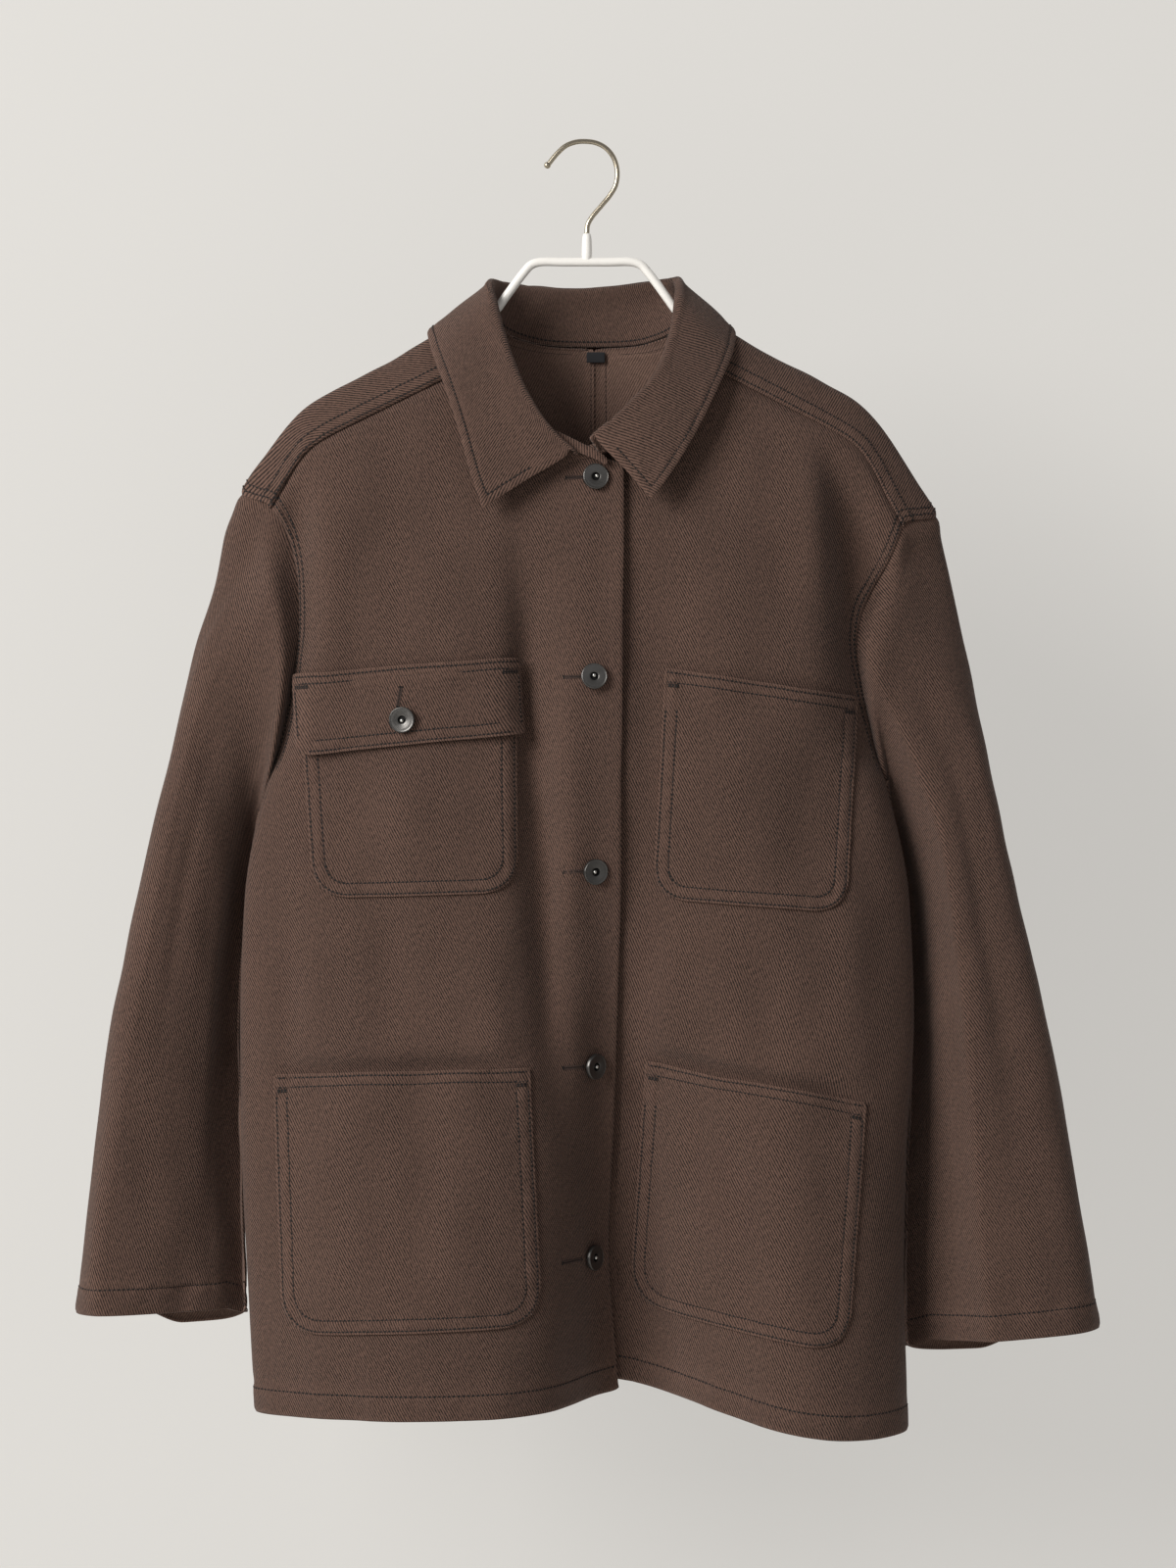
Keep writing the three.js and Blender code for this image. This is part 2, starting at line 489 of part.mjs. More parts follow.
// A closed wall round a grid of points, from an inner to an outer distance along the normals
function wallGeometry(piece, inner, outer, gaps = {}) {
  const { grid, normals, closed } = piece;
  const rows = grid.length;
  const cols = grid[0].length;
  const moved = grid.map((row) => row.map((p) => p.clone()));
  const draw = (p, towards, by) => p.addScaledVector(towards.clone().sub(p).normalize(), by);
  for (let j = 0; j < cols; j++) {
    if (gaps.foot) draw(moved[0][j], grid[1][j], gaps.foot);
    if (gaps.top) draw(moved[rows - 1][j], grid[rows - 2][j], gaps.top);
  }
  for (let i = 0; i < rows; i++) {
    if (gaps.first) draw(moved[i][0], grid[i][1], gaps.first);
    if (gaps.last) draw(moved[i][cols - 1], grid[i][cols - 2], gaps.last);
  }
  const positions = [];
  const place = (distance) =>
    moved.forEach((row, i) => row.forEach((p, j) => {
      const by = typeof distance === "function" ? distance(i) : distance;
      const q = p.clone().addScaledVector(normals[i][j], by);
      positions.push(q.x, q.y, q.z);
    }));
  place(outer);
  place(inner);
  const id = (layer, i, j) => layer * rows * cols + i * cols + (j % cols);
  const index = [];
  const quad = (a, b, c, d) => index.push(a, b, c, a, c, d);
  const across = closed ? cols : cols - 1;
  for (let i = 0; i < rows - 1; i++)
    for (let j = 0; j < across; j++) {
      quad(id(0, i, j), id(0, i + 1, j), id(0, i + 1, j + 1), id(0, i, j + 1));
      quad(id(1, i, j), id(1, i, j + 1), id(1, i + 1, j + 1), id(1, i + 1, j));
    }
  for (let j = 0; j < across; j++) {
    quad(id(0, 0, j), id(0, 0, j + 1), id(1, 0, j + 1), id(1, 0, j));
    quad(id(0, rows - 1, j + 1), id(0, rows - 1, j), id(1, rows - 1, j), id(1, rows - 1, j + 1));
  }
  if (!closed)
    for (let i = 0; i < rows - 1; i++) {
      quad(id(0, i + 1, 0), id(0, i, 0), id(1, i, 0), id(1, i + 1, 0));
      quad(id(0, i, cols - 1), id(0, i + 1, cols - 1), id(1, i + 1, cols - 1), id(1, i, cols - 1));
    }
  if (piece.flip) {
    for (let k = 0; k < index.length; k += 3) [index[k + 1], index[k + 2]] = [index[k + 2], index[k + 1]];
  }
  const geometry = new THREE.BufferGeometry();
  geometry.setAttribute("position", new THREE.Float32BufferAttribute(positions, 3));
  geometry.setIndex(index);
  return geometry;
}

// A three.js geometry as a manifold solid, and back
function toSolid(geometry) {
  const bare = geometry.clone();
  bare.deleteAttribute("normal");
  bare.deleteAttribute("uv");
  const merged = mergeVertices(bare, 1e-3);
  return new wasm.Manifold(new wasm.Mesh({
    numProp: 3,
    vertProperties: merged.attributes.position.array,
    triVerts: new Uint32Array(merged.index.array),
  }));
}

const largest = (solid) => solid.decompose().sort((a, b) => b.volume() - a.volume())[0];

function toGeometry(solid) {
  const mesh = solid.getMesh();
  const geometry = new THREE.BufferGeometry();
  geometry.setAttribute("position", new THREE.Float32BufferAttribute(mesh.vertProperties, 3));
  geometry.setIndex(new THREE.Uint32BufferAttribute(mesh.triVerts, 1));
  return geometry;
}

// The body panels
const grids = {
  front_right: frontGrid("right"),
  front_left: frontGrid("left"),
  back_right: backGrid("right"),
  back_left: backGrid("left"),
};
for (const name of ["right", "left"]) {
  grids["back_" + name].push(grids["front_" + name].at(-1).map((p) => p.clone()));
}
tuckUnder(grids.front_left);

const frontCount = frontRows.right.length;
for (const name of ["right", "left"]) {
  const front = grids["front_" + name].slice(-frontCount - 1).map((row) => row.at(-1));
  const back = grids["back_" + name].slice(levelRows(bodyLevels[name]).length, -1).map((row) => row.at(-1));
  grids["sleeve_" + name] = sleeveGrid(name, [...front, ...back.reverse()], frontCount);
}

const pieces = Object.fromEntries(Object.entries(grids).map(([name, grid]) => {
  const closed = name.startsWith("sleeve");
  const flip = name === "front_left" || name === "back_right" || name === "sleeve_right";
  return [name, { name, grid, closed, flip, normals: gridNormals(grid, closed, flip) }];
}));
shareNormals(Object.values(pieces).filter((piece) => !piece.closed));
shareNormals(Object.values(pieces));

// Extra height of the turned-up hem on the rows below its stitching
const bodyHem = (i) => clothWall / 2 + (i <= 1 ? hemExtra : 0);
const cuffRow = sleeveRows.right.length - 1;
const cuffHem = (i) => clothWall / 2 + (i >= cuffRow ? hemExtra : 0);

// The collar: each section is a line over the roll, from the neck seam to the outer edge
function collarSection(s) {
  const neck = new THREE.Vector3(...s.neck);
  const roll = new THREE.Vector3(...s.roll);
  const edge = new THREE.Vector3(...s.edge);
  const out = edge.clone().sub(roll).setZ(0).normalize();
  const side = (sign) => roll.clone().addScaledVector(out, sign * collarRollRadius);
  const standIn = side(-0.2);
  const standMiddle = neck.clone().lerp(standIn, 0.5);
  const fallTop = side(1.6).add(new THREE.Vector3(0, 0, -2.5));
  const fallMiddle = fallTop.clone().lerp(edge, 0.5).addScaledVector(out, 0.8);
  const crest = side(0.75).add(new THREE.Vector3(0, 0, 1.6));
  return [neck, standMiddle, standIn, crest, fallTop, fallMiddle, edge];
}

function collarGrid() {
  const lines = collarSections.map(collarSection);
  const through = (points) => new THREE.CatmullRomCurve3(points, false, "centripetal");
  const rails = lines[0].map((_, k) => through(lines.map((line) => line[k])));
  const count = (collarSections.length - 1) * collarSteps;
  const across = [0, 0.13, 0.27, 0.345, 0.42, 0.5, 0.585, 0.72, 0.86, 1];
  const rows = [];
  for (let i = 0; i <= count; i++) {
    const line = through(rails.map((rail) => rail.getPoint(i / count)));
    rows.push(across.map((t) => line.getPoint(t)));
  }
  return rows;
}

const meshes = [];
const twill = new THREE.MeshStandardMaterial({ color: 0x55433b, roughness: 0.92, metalness: 0 });
const gunmetal = new THREE.MeshStandardMaterial({ color: 0x55565a, roughness: 0.35, metalness: 0.85 });
const black = new THREE.MeshStandardMaterial({ color: 0x15161a, roughness: 0.85, metalness: 0 });
const white = new THREE.MeshStandardMaterial({ color: 0xeeebe6, roughness: 0.45, metalness: 0 });
const steel = new THREE.MeshStandardMaterial({ color: 0xb9b2a4, roughness: 0.25, metalness: 1 });

function add(name, geometry, material) {
  const mesh = new THREE.Mesh(geometry, material);
  mesh.name = name;
  meshes.push(mesh);
  return mesh;
}

const half = seamGap / 2;
for (const name of ["back_right", "back_left", "front_right", "front_left"]) {
  const gaps = { first: name.startsWith("back") ? half : 0, last: half, top: half };
  add(name, wallGeometry(pieces[name], -clothWall / 2, bodyHem, gaps), twill);
}

// A sleeve ends where it meets the body, a gap away from its panels
for (const name of ["right", "left"]) {
  const lie = clothWall / 2 + layGap;
  const wall = toSolid(wallGeometry(pieces["sleeve_" + name], -clothWall / 2, cuffHem, { foot: half }));
  const body = ["front_", "back_"].map((panel) => toSolid(wallGeometry(pieces[panel + name], -lie, lie)));
  add("sleeve_" + name, toGeometry(largest(wall.subtract(body[0]).subtract(body[1]))), twill);
}

const collar = { grid: collarGrid(), closed: false, flip: false };
collar.normals = gridNormals(collar.grid, false, false);
add("collar", wallGeometry(collar, -collarWall / 2, collarWall / 2), twill);

// A patch sewn on a panel: the panel's own outer surface, moved out, inside the patch's outline
function outlineShape(patch) {
  const corner = (p) => new THREE.Vector2(...p);
  const [topOut, topIn, botIn, botOut] = [patch.topOut, patch.topIn, patch.botIn, patch.botOut].map(corner);
  const along = (from, to) => from.clone().add(to.clone().sub(from).setLength(patch.round));
  const shape = new THREE.Shape();
  shape.moveTo(topOut.x, topOut.y);
  shape.lineTo(topIn.x, topIn.y);
  shape.lineTo(...along(botIn, topIn).toArray());
  shape.quadraticCurveTo(botIn.x, botIn.y, ...along(botIn, botOut).toArray());
  shape.lineTo(...along(botOut, botIn).toArray());
  shape.quadraticCurveTo(botOut.x, botOut.y, ...along(botOut, topOut).toArray());
  shape.closePath();
  return shape;
}

function patch(spec, inner, outer) {
  const sheet = toSolid(wallGeometry(pieces[spec.panel], inner, outer));
  const straight = { depth: 200, bevelEnabled: false, curveSegments: 6 };
  const prism = new THREE.ExtrudeGeometry(outlineShape(spec), straight);
  prism.rotateX(Math.PI / 2); // the outline's second coordinate becomes Z, and the extrusion runs to -Y
  return toGeometry(sheet.intersect(toSolid(prism)));
}

for (const pocket of pockets) {
  const lie = clothWall / 2 + layGap;
  add(pocket.name, patch(pocket, lie, lie + pocketWall), twill);
}
const flapLie = clothWall / 2 + layGap + pocketWall + layGap;
add(flap.name, patch(flap, flapLie, flapLie + flapWall), twill);

// The point of a panel in front of (x, z), and its normal, from its own facets
function onPanel(piece, x, z, out) {
  const ray = new THREE.Raycaster(new THREE.Vector3(x, -400, z), new THREE.Vector3(0, 1, 0));
  const bothSides = new THREE.MeshBasicMaterial({ side: THREE.DoubleSide });
  const probe = new THREE.Mesh(wallGeometry(piece, -clothWall / 2, out), bothSides);
  const hit = ray.intersectObject(probe)[0];
  return { point: hit.point, normal: hit.face.normal.clone() };
}

function buttonProfile() {
  const top = buttonLift + buttonThickness;
  const hollow = 2.4;
  return [
    [0, 0], [buttonStem, 0], [buttonStem, buttonLift], [buttonRadius - 0.7, buttonLift],
    [buttonRadius, buttonLift + 0.8], [buttonRadius - 0.5, top - 0.5], [buttonRadius - 2.4, top],
    [hollow + 1, top - 0.3], [hollow, top - 1.4], [0, top - 1.6],
  ].map(([r, h]) => new THREE.Vector2(r, h));
}

function addButton(name, piece, spot, out) {
  const { point, normal } = onPanel(piece, spot.x, spot.z, out);
  const lathe = new THREE.LatheGeometry(buttonProfile(), 16);
  const mesh = add(name, lathe, gunmetal);
  mesh.quaternion.setFromUnitVectors(new THREE.Vector3(0, 1, 0), normal);
  mesh.position.copy(point).addScaledVector(normal, buttonFoot);
}
frontButtons.forEach((spot, i) => {
  addButton("front_button_" + (i + 1), pieces.front_right, spot, clothWall / 2);
});
addButton("flap_button", pieces.front_right, flapButton, flapLie + flapWall);

// The loop label hangs from the neck seam, just inside the back
const backNeckY = pieces.back_left.grid[bodyLevels.left.reduce((n, l) => n + l.rows, 0) + 5][0].y;
const label = add("neck_tab", new THREE.BoxGeometry(tab.width, tab.thick, tab.height), black);
label.position.set(tab.x, backNeckY - clothWall / 2 - tab.thick / 2 - 1.2, tab.topZ - tab.height / 2);

// The hanger's coated arch, with its neck fused to it, and the bare hook
function tube(points, radius, steps, sidesCount) {
  const shape = new THREE.Shape();
  shape.absarc(0, 0, radius, 0, 2 * Math.PI);
  const line = points.map((p) => new THREE.Vector3(p.x, 0, p.z));
  const extrudePath = new THREE.CatmullRomCurve3(line, false, "centripetal");
  const sweep = { steps, extrudePath, curveSegments: sidesCount, bevelEnabled: false };
  return new THREE.ExtrudeGeometry(shape, sweep);
}

const arm = archCorners.concat([0.25, 0.5, 0.75, 1].map((t) => {
  const x = lerp(archCorners.at(-1).x, archEndX, t);
  return { x, z: Math.min(ridge(sides.right, -x).z, ridge(sides.left, x).z) - armDrop };
}));
const mirror = arm.map((p) => ({ x: -p.x, z: p.z })).reverse();
const archPath = [...mirror, { x: -15, z: archTopZ }, { x: 0, z: archTopZ }, { x: 15, z: archTopZ }, ...arm];
const neckRings = [[0, hangerNeck[0].z], ...hangerNeck.map((s) => [s.r, s.z]), [0, hangerNeck.at(-1).z]];
const neckLathe = new THREE.LatheGeometry(neckRings.map(([r, z]) => new THREE.Vector2(r, z)), 16);
neckLathe.rotateX(Math.PI / 2);
neckLathe.translate(0.6, 0, 0);
add("hanger_arch", toGeometry(toSolid(tube(archPath, archRadius, 52, 7)).add(toSolid(neckLathe))), white);
const hookBall = new THREE.SphereGeometry(hookBallRadius, 14, 10);
hookBall.translate(hookPath[0].x, 0, hookPath[0].z);
add("hanger_hook", toGeometry(toSolid(tube(hookPath, wireRadius, 36, 6)).add(toSolid(hookBall))), steel);

const jacket = new THREE.Group();
meshes.forEach((mesh) => jacket.add(mesh));
export default jacket;
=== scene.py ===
import math

import bmesh
import bpy
import numpy as np
from mathutils import Matrix, Vector
from mathutils.bvhtree import BVHTree


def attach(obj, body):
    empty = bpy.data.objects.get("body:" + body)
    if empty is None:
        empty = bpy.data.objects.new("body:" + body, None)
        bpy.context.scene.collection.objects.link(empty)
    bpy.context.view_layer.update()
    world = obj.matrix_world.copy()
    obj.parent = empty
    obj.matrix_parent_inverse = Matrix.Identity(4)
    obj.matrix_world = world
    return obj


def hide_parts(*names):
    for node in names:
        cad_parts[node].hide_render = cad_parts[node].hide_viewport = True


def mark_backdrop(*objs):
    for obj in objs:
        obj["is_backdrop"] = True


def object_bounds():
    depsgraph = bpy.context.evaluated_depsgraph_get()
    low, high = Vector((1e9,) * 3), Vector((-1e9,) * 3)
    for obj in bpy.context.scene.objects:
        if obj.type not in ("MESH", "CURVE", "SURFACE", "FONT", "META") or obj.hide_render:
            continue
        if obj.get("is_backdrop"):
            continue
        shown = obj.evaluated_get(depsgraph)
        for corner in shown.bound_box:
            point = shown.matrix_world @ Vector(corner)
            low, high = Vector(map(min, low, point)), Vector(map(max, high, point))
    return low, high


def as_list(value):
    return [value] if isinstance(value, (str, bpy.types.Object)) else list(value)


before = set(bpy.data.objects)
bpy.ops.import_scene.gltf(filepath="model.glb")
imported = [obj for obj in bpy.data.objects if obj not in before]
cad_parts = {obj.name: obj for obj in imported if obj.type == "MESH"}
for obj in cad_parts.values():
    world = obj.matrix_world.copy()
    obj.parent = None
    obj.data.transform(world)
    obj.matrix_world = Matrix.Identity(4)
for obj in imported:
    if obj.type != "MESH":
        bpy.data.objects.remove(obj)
cadLow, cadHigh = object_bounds()
print("frame loaded")

# Sizes are worked out in millimetres and written in metres
mm = 0.001

cloth = {"wall": 1.6, "collarWall": 2.2, "pocketWall": 1.3, "flapWall": 2.0, "endWall": 1.5, "lie": 0.35,
         "tuck": 3.7, "pitch": 3.6}
hang = {"neckReach": 71, "ridgeZ": -113.5, "slope": 0.54, "round": 6, "curl": 3.0, "slack": 1100,
        "square": 2.6}
backSwell = {"x": 6, "z": -135, "reach": 62, "lift": 9}
sides = {
    "right": {"sign": -1, "bendX": 196, "drop": 1.47, "sag": 5, "sagPlace": 0.5},
    "left": {"sign": 1, "bendX": 193, "drop": 1.62, "sag": 9, "sagPlace": 2},
}

# frontX, frontZ, sideX, sideZ, backZ from the hem to the armpit
bodyLevels = {
    "right": np.array([
        (22, -841, -222, -852, -838), (20, -823, -223, -834, -820), (19.9, -821.6, -223.1, -832.5, -818.5),
        (14, -745, -227, -761, -760), (18, -660, -231, -675, -675), (21, -575, -232, -590, -590),
        (23, -495, -229, -508, -505), (23, -431, -213, -428, -431)], float),
    "left": np.array([
        (-18, -829, 216, -864, -838), (-20, -811, 215, -846, -820), (-20.1, -809.6, 215, -844.6, -818.5),
        (-26, -745, 213, -764, -760), (-22, -660, 215, -676, -675), (-19, -575, 220, -588, -590),
        (-17, -495, 217, -510, -505), (-17, -431, 201, -431, -431)], float),
}

# inner x, z, armhole x, y, z and how closely the row follows the shoulder, from the armpit up
frontRows = {
    "right": np.array([
        (24, -380, -208, -9, -415, 0.02), (24, -325, -201, -16, -386, 0.08), (25, -268, -195, -20, -356, 0.2),
        (25, -221, -192, -22, -326, 0.38), (1, -212, -193, -21, -298, 0.58),
        (-19, -201, -197, -19, -274, 0.78),
        (-42, -179, -204, -16.5, -256, 0.93), (-59, -140, -212, -14, -244, 1)], float),
    "left": np.array([
        (-16, -380, 197, -9, -418, 0.02), (-16, -325, 191, -16, -391, 0.08), (-15, -268, 185, -20, -364, 0.2),
        (-15, -221, 182, -22, -339, 0.38), (8, -212, 185, -21, -318, 0.58), (26, -201, 193, -19, -300, 0.78),
        (46, -179, 204, -16.5, -280, 0.93), (62, -139, 213, -14, -256, 1)], float),
}
backRows = {
    "right": np.array([
        (6, -372, -217, 12, -409, 0.02), (6, -312, -220, 20, -386, 0.1), (6, -253, -222, 25, -360, 0.25),
        (6, -193, -224, 26, -334, 0.45), (6, -136, -226, 24, -310, 0.65), (-25, -134, -228, 20, -288, 0.85),
        (-49, -129, -230, 14, -267, 1)], float),
    "left": np.array([
        (6, -372, 206, 12, -413, 0.02), (6, -312, 211, 20, -391, 0.1), (6, -253, 216, 25, -366, 0.25),
        (6, -193, 221, 26, -343, 0.45), (6, -136, 226, 24, -321, 0.65), (34, -134, 230, 20, -301, 0.85),
        (54, -129, 233, 14, -282, 1)], float),
}

# Over the shoulder: place from the back (1) over the ridge (0) to the seam (-1), neck x and armhole x
overShoulder = {
    "right": np.array([(1, -49, -230), (0.6, -62, -231.5), (0.31, -68, -232), (0, -71, -232),
                       (-0.3, -70, -231), (-0.58, -67, -226), (-1, -59, -212)], float),
    "left": np.array([(1, 54, 233), (0.6, 64, 235.5), (0.31, 69, 236), (0, 71, 236),
                      (-0.3, 70, 235), (-0.58, 68, 229), (-1, 62, 213)], float),
}

# outer x, z, inner x, z, how far back, half the depth, from the armhole to the cuff
sleeveRows = {
    "right": np.array([
        (-241, -258, -218, -439, 8, 26), (-248.5, -293, -222, -457, 14, 29), (-264, -341, -226, -480, 16, 32),
        (-278, -400, -230, -511, 18, 34), (-293, -466, -233, -551, 19, 35),
        (-306.5, -530, -235, -600, 19, 35),
        (-319, -592, -234, -650, 18, 35), (-327, -652, -233, -698, 16, 34), (-335, -714, -232, -738, 13, 34),
        (-340.5, -768, -230.5, -766, 10, 34), (-340.7, -769.4, -230.4, -767.4, 10, 34),
        (-343, -787, -229.5, -785, 9, 34)], float),
    "left": np.array([
        (241, -272, 205, -442, 8, 26), (250, -312, 208, -461, 14, 29), (260, -360, 212, -486, 16, 32),
        (271, -413, 217, -516, 18, 34), (283, -471, 220, -553, 19, 35), (296, -528, 221, -597, 19, 35),
        (309, -586, 220, -644, 18, 35), (321, -646, 217, -694, 16, 34), (332, -710, 215.5, -746, 13, 34),
        (343, -777, 215, -789, 10, 34), (343.2, -778.4, 215, -790.4, 10, 34),
        (346, -797, 216, -808, 9, 34)], float),
}
sleeveForm = {"square": 2.2, "fade": 4, "cuffDrop": 14,
              "fallBack": {"right": (0.82, 27, 10), "left": (0.42, 38, 0)}}

# topX, topZ, footX, footZ, lift, wideLeft, wideRight, grows
frontFolds = [
    (26, -400, 20, -870, -50, 32, 95, 1), (-115, -470, -122, -880, 18, 75, 75, 1),
    (140, -470, 152, -890, 22, 60, 60, 1), (-28, -240, -38, -640, -5.5, 16, 16, 0),
    (-10, -290, -14, -560, 3, 14, 14, 0), (42, -260, 36, -560, -4, 17, 22, 0),
    (-160, -185, -176, -390, 6, 17, 26, 0), (142, -190, 166, -400, 7, 26, 15, 0),
    (160, -195, 184, -350, -7, 11, 14, 0), (92, -200, 108, -560, 4, 34, 34, 0),
    (-95, -220, -110, -560, 4, 38, 38, 0)]
backFolds = [
    (-150, -190, -128, -880, 12, 44, 44, 1), (152, -200, 134, -890, 13, 42, 42, 1),
    (-72, -330, -64, -880, -9, 26, 26, 1), (80, -320, 70, -880, -9, 26, 26, 1),
    (6, -250, 4, -880, 8, 34, 34, 1), (-170, -230, -190, -430, 5, 15, 15, 0),
    (172, -235, 188, -440, 5, 15, 15, 0)]

# Smaller creases placed one by one, uneven in length, depth and spacing
frontCreases = [
    (-174, -205, -197, -420, 5.0, 7, 13, 0), (-192, -215, -206, -450, -3.0, 9, 8, 0),
    (20, -340, 18, -720, -26, 40, 46, 1), (-150, -230, -158, -420, -2.0, 10, 12, 0),
    (150, -190, 168, -350, 4.5, 12, 10, 0), (172, -210, 184, -400, -5.5, 10, 12, 0),
    (130, -240, 138, -350, -1.8, 12, 12, 0), (188, -380, 200, -520, 2.6, 8, 9, 0),
    (-48, -225, -18, -700, -10, 11, 15, 0), (-28, -300, -34, -470, 2.2, 7, 7, 0),
    (-22, -430, -30, -640, -2.4, 8, 8, 0), (30, -330, 32, -470, 1.6, 8, 9, 0),
    (60, -520, 44, -640, 2.6, 14, 16, 0), (-70, -520, -52, -660, 2.4, 18, 14, 0),
    (-134, -490, -130, -620, -3.2, 15, 17, 0), (-112, -600, -108, -800, -3.4, 15, 18, 0),
    (-160, -590, -150, -800, 2.6, 18, 16, 0), (110, -520, 128, -640, -2.4, 15, 17, 0),
    (170, -470, 186, -640, 2.4, 14, 12, 0), (-196, -500, -204, -700, -2.2, 9, 9, 0),
    (100, -640, 112, -800, -2.4, 18, 18, 0), (62, -650, 70, -820, 2.4, 14, 16, 0),
    (-6, -560, -8, -760, 1.8, 8, 8, 0), (-150, -790, -156, -880, -2.6, 13, 12, 1),
    (-60, -780, -66, -880, 2.6, 14, 14, 1), (80, -790, 84, -890, 2.2, 12, 14, 1),
    (176, -780, 182, -890, -2.2, 12, 12, 1), (199, -480, 206, -880, 11, 34, 14, 1)]
backCreases = [
    (-120, -200, -96, -340, 2.0, 14, 12, 0), (112, -205, 94, -330, 1.8, 14, 14, 0),
    (-196, -300, -206, -420, -2.2, 8, 8, 0), (200, -310, 204, -430, -2.0, 8, 8, 0),
    (-40, -420, -34, -640, 1.8, 16, 16, 0), (44, -400, 50, -620, -1.8, 16, 14, 0),
    (-160, -520, -168, -760, -2.2, 14, 14, 0), (164, -500, 172, -780, 2.0, 14, 16, 0),
    (-96, -600, -88, -880, 1.6, 12, 12, 1), (110, -620, 104, -880, -1.8, 14, 12, 1)]

# angle, fromRow, toRow, lift, wide. Folds along a sleeve
sleeveFolds = {
    "right": [(34, 0, 9, -4, 16), (-8, 1, 12, 3, 20), (-44, 1, 10, -4, 15), (200, 1, 13, -5, 20),
              (150, 0, 10, 4, 20)],
    "left": [(20, 0, 10, -4, 16), (52, 2, 13, 3, 18), (-32, 1, 9, 4, 16), (205, 1, 13, -5, 20),
             (155, 0, 10, 4, 20)],
}
sleeveCreases = {
    "right": [(44, 0.5, 14.5, 5, 28), (58, 0.5, 5.5, 1.8, 8), (12, 2, 8, -1.6, 8), (-26, 3, 9, 1.8, 8),
              (-62, 2, 7, 1.8, 7), (44, 6, 12.6, 1.6, 9), (-12, 8, 13.4, -3.0, 11), (170, 2, 9, -2.0, 9),
              (228, 4, 11, 1.8, 9)],
    "left": [(40, 2, 14, 4, 28), (66, 0.5, 5, 1.6, 8), (36, 1.5, 7, -1.6, 8), (2, 2.5, 8.5, 1.8, 9),
             (-50, 1.5, 6, -1.8, 7), (30, 7, 12.8, -1.5, 9), (-10, 7.5, 12.6, 1.8, 9), (178, 2, 8, 2.0, 9),
             (226, 4, 10, -1.8, 9)],
}


def smooth(t):
    t = np.clip(t, 0, 1)
    return t * t * (3 - 2 * t)


# A bell curve: 1 at no distance, falling off over the reach
def bell(distance, reach):
    return np.exp(-((distance / reach) ** 2))


# Distance run along a line of points, or along one axis of a grid of them
def runAlong(points, axis=0):
    d = np.linalg.norm(np.diff(points, axis=axis), axis=-1)
    return np.concatenate([np.zeros_like(np.take(d, [0], axis)), np.cumsum(d, axis=axis)], axis=axis)


# Cubic from a to b, with the slopes ta and tb at its ends
def hermite(t, a, ta, b, tb):
    return ((2 * t**3 - 3 * t**2 + 1) * a + (t**3 - 2 * t**2 + t) * ta
            + (3 * t**2 - 2 * t**3) * b + (t**3 - t**2) * tb)


# Cubic through the rows that never swings past them
def monotoneCurve(keys, values, at):
    keys, values, at = np.asarray(keys, float), np.asarray(values, float), np.asarray(at, float)
    step = np.diff(keys)[:, None]
    slope = np.diff(values, axis=0) / step
    tangent = np.zeros_like(values)
    w1, w2 = 2 * step[1:] + step[:-1], step[1:] + 2 * step[:-1]
    same = slope[:-1] * slope[1:] > 0
    with np.errstate(divide="ignore", invalid="ignore"):
        mean = (w1 + w2) / (w1 / slope[:-1] + w2 / slope[1:])
    tangent[1:-1] = np.where(same, mean, 0)
    tangent[0], tangent[-1] = slope[0], slope[-1]
    i = np.clip(np.searchsorted(keys, at, side="right") - 1, 0, len(keys) - 2)
    h = step[i]
    t = ((at - keys[i])[:, None]) / h
    a, b, ta, tb = values[i], values[i + 1], tangent[i] * h, tangent[i + 1] * h
    return hermite(t, a, ta, b, tb)


# Height of the shoulder line at x, and the cosine of its slope
def ridge(side, x):
    past = (np.abs(x) - side["bendX"]) / hang["round"]
    fall = side["drop"] - hang["slope"]
    z = hang["ridgeZ"] - hang["slope"] * (np.abs(x) - hang["neckReach"])
    z = z - fall * hang["round"] * np.logaddexp(0, past)
    slope = hang["slope"] + fall / (1 + np.exp(-past))
    return z, 1 / np.hypot(1, slope)


# How far the cloth stands off the middle plane below the shoulder line
def standOff(drop):
    drop = np.maximum(drop, 0)
    return hang["curl"] * np.sqrt(drop) / (1 + drop / hang["slack"])


# How far the folds lift the cloth at x and z
def foldLift(folds, x, z):
    total = np.zeros_like(x)
    for topX, topZ, footX, footZ, lift, wideLeft, wideRight, grows in folds:
        t = (topZ - z) / (topZ - footZ)
        off = x - (topX + (footX - topX) * t)
        wide = np.where(off < 0, wideLeft, wideRight)
        along = smooth(t) if grows else smooth(t * 3) * smooth((1 - t) * 3)
        total += np.where(t > 0, lift * along * bell(off, wide), 0)
    return total


# Gentle uneven relief, the same each run. stretch makes it longer along v.
def softNoise(u, v, wave, seed, stretch=1.0):
    rng = np.random.RandomState(seed)
    total = np.zeros_like(u)
    for _ in range(14):
        angle, phase = rng.uniform(0, math.pi), rng.uniform(0, 2 * math.pi)
        k = 2 * math.pi / (wave * rng.uniform(0.7, 1.6))
        total += np.sin(k * (u * math.cos(angle) + v / stretch * math.sin(angle)) + phase)
    return total / 3.7


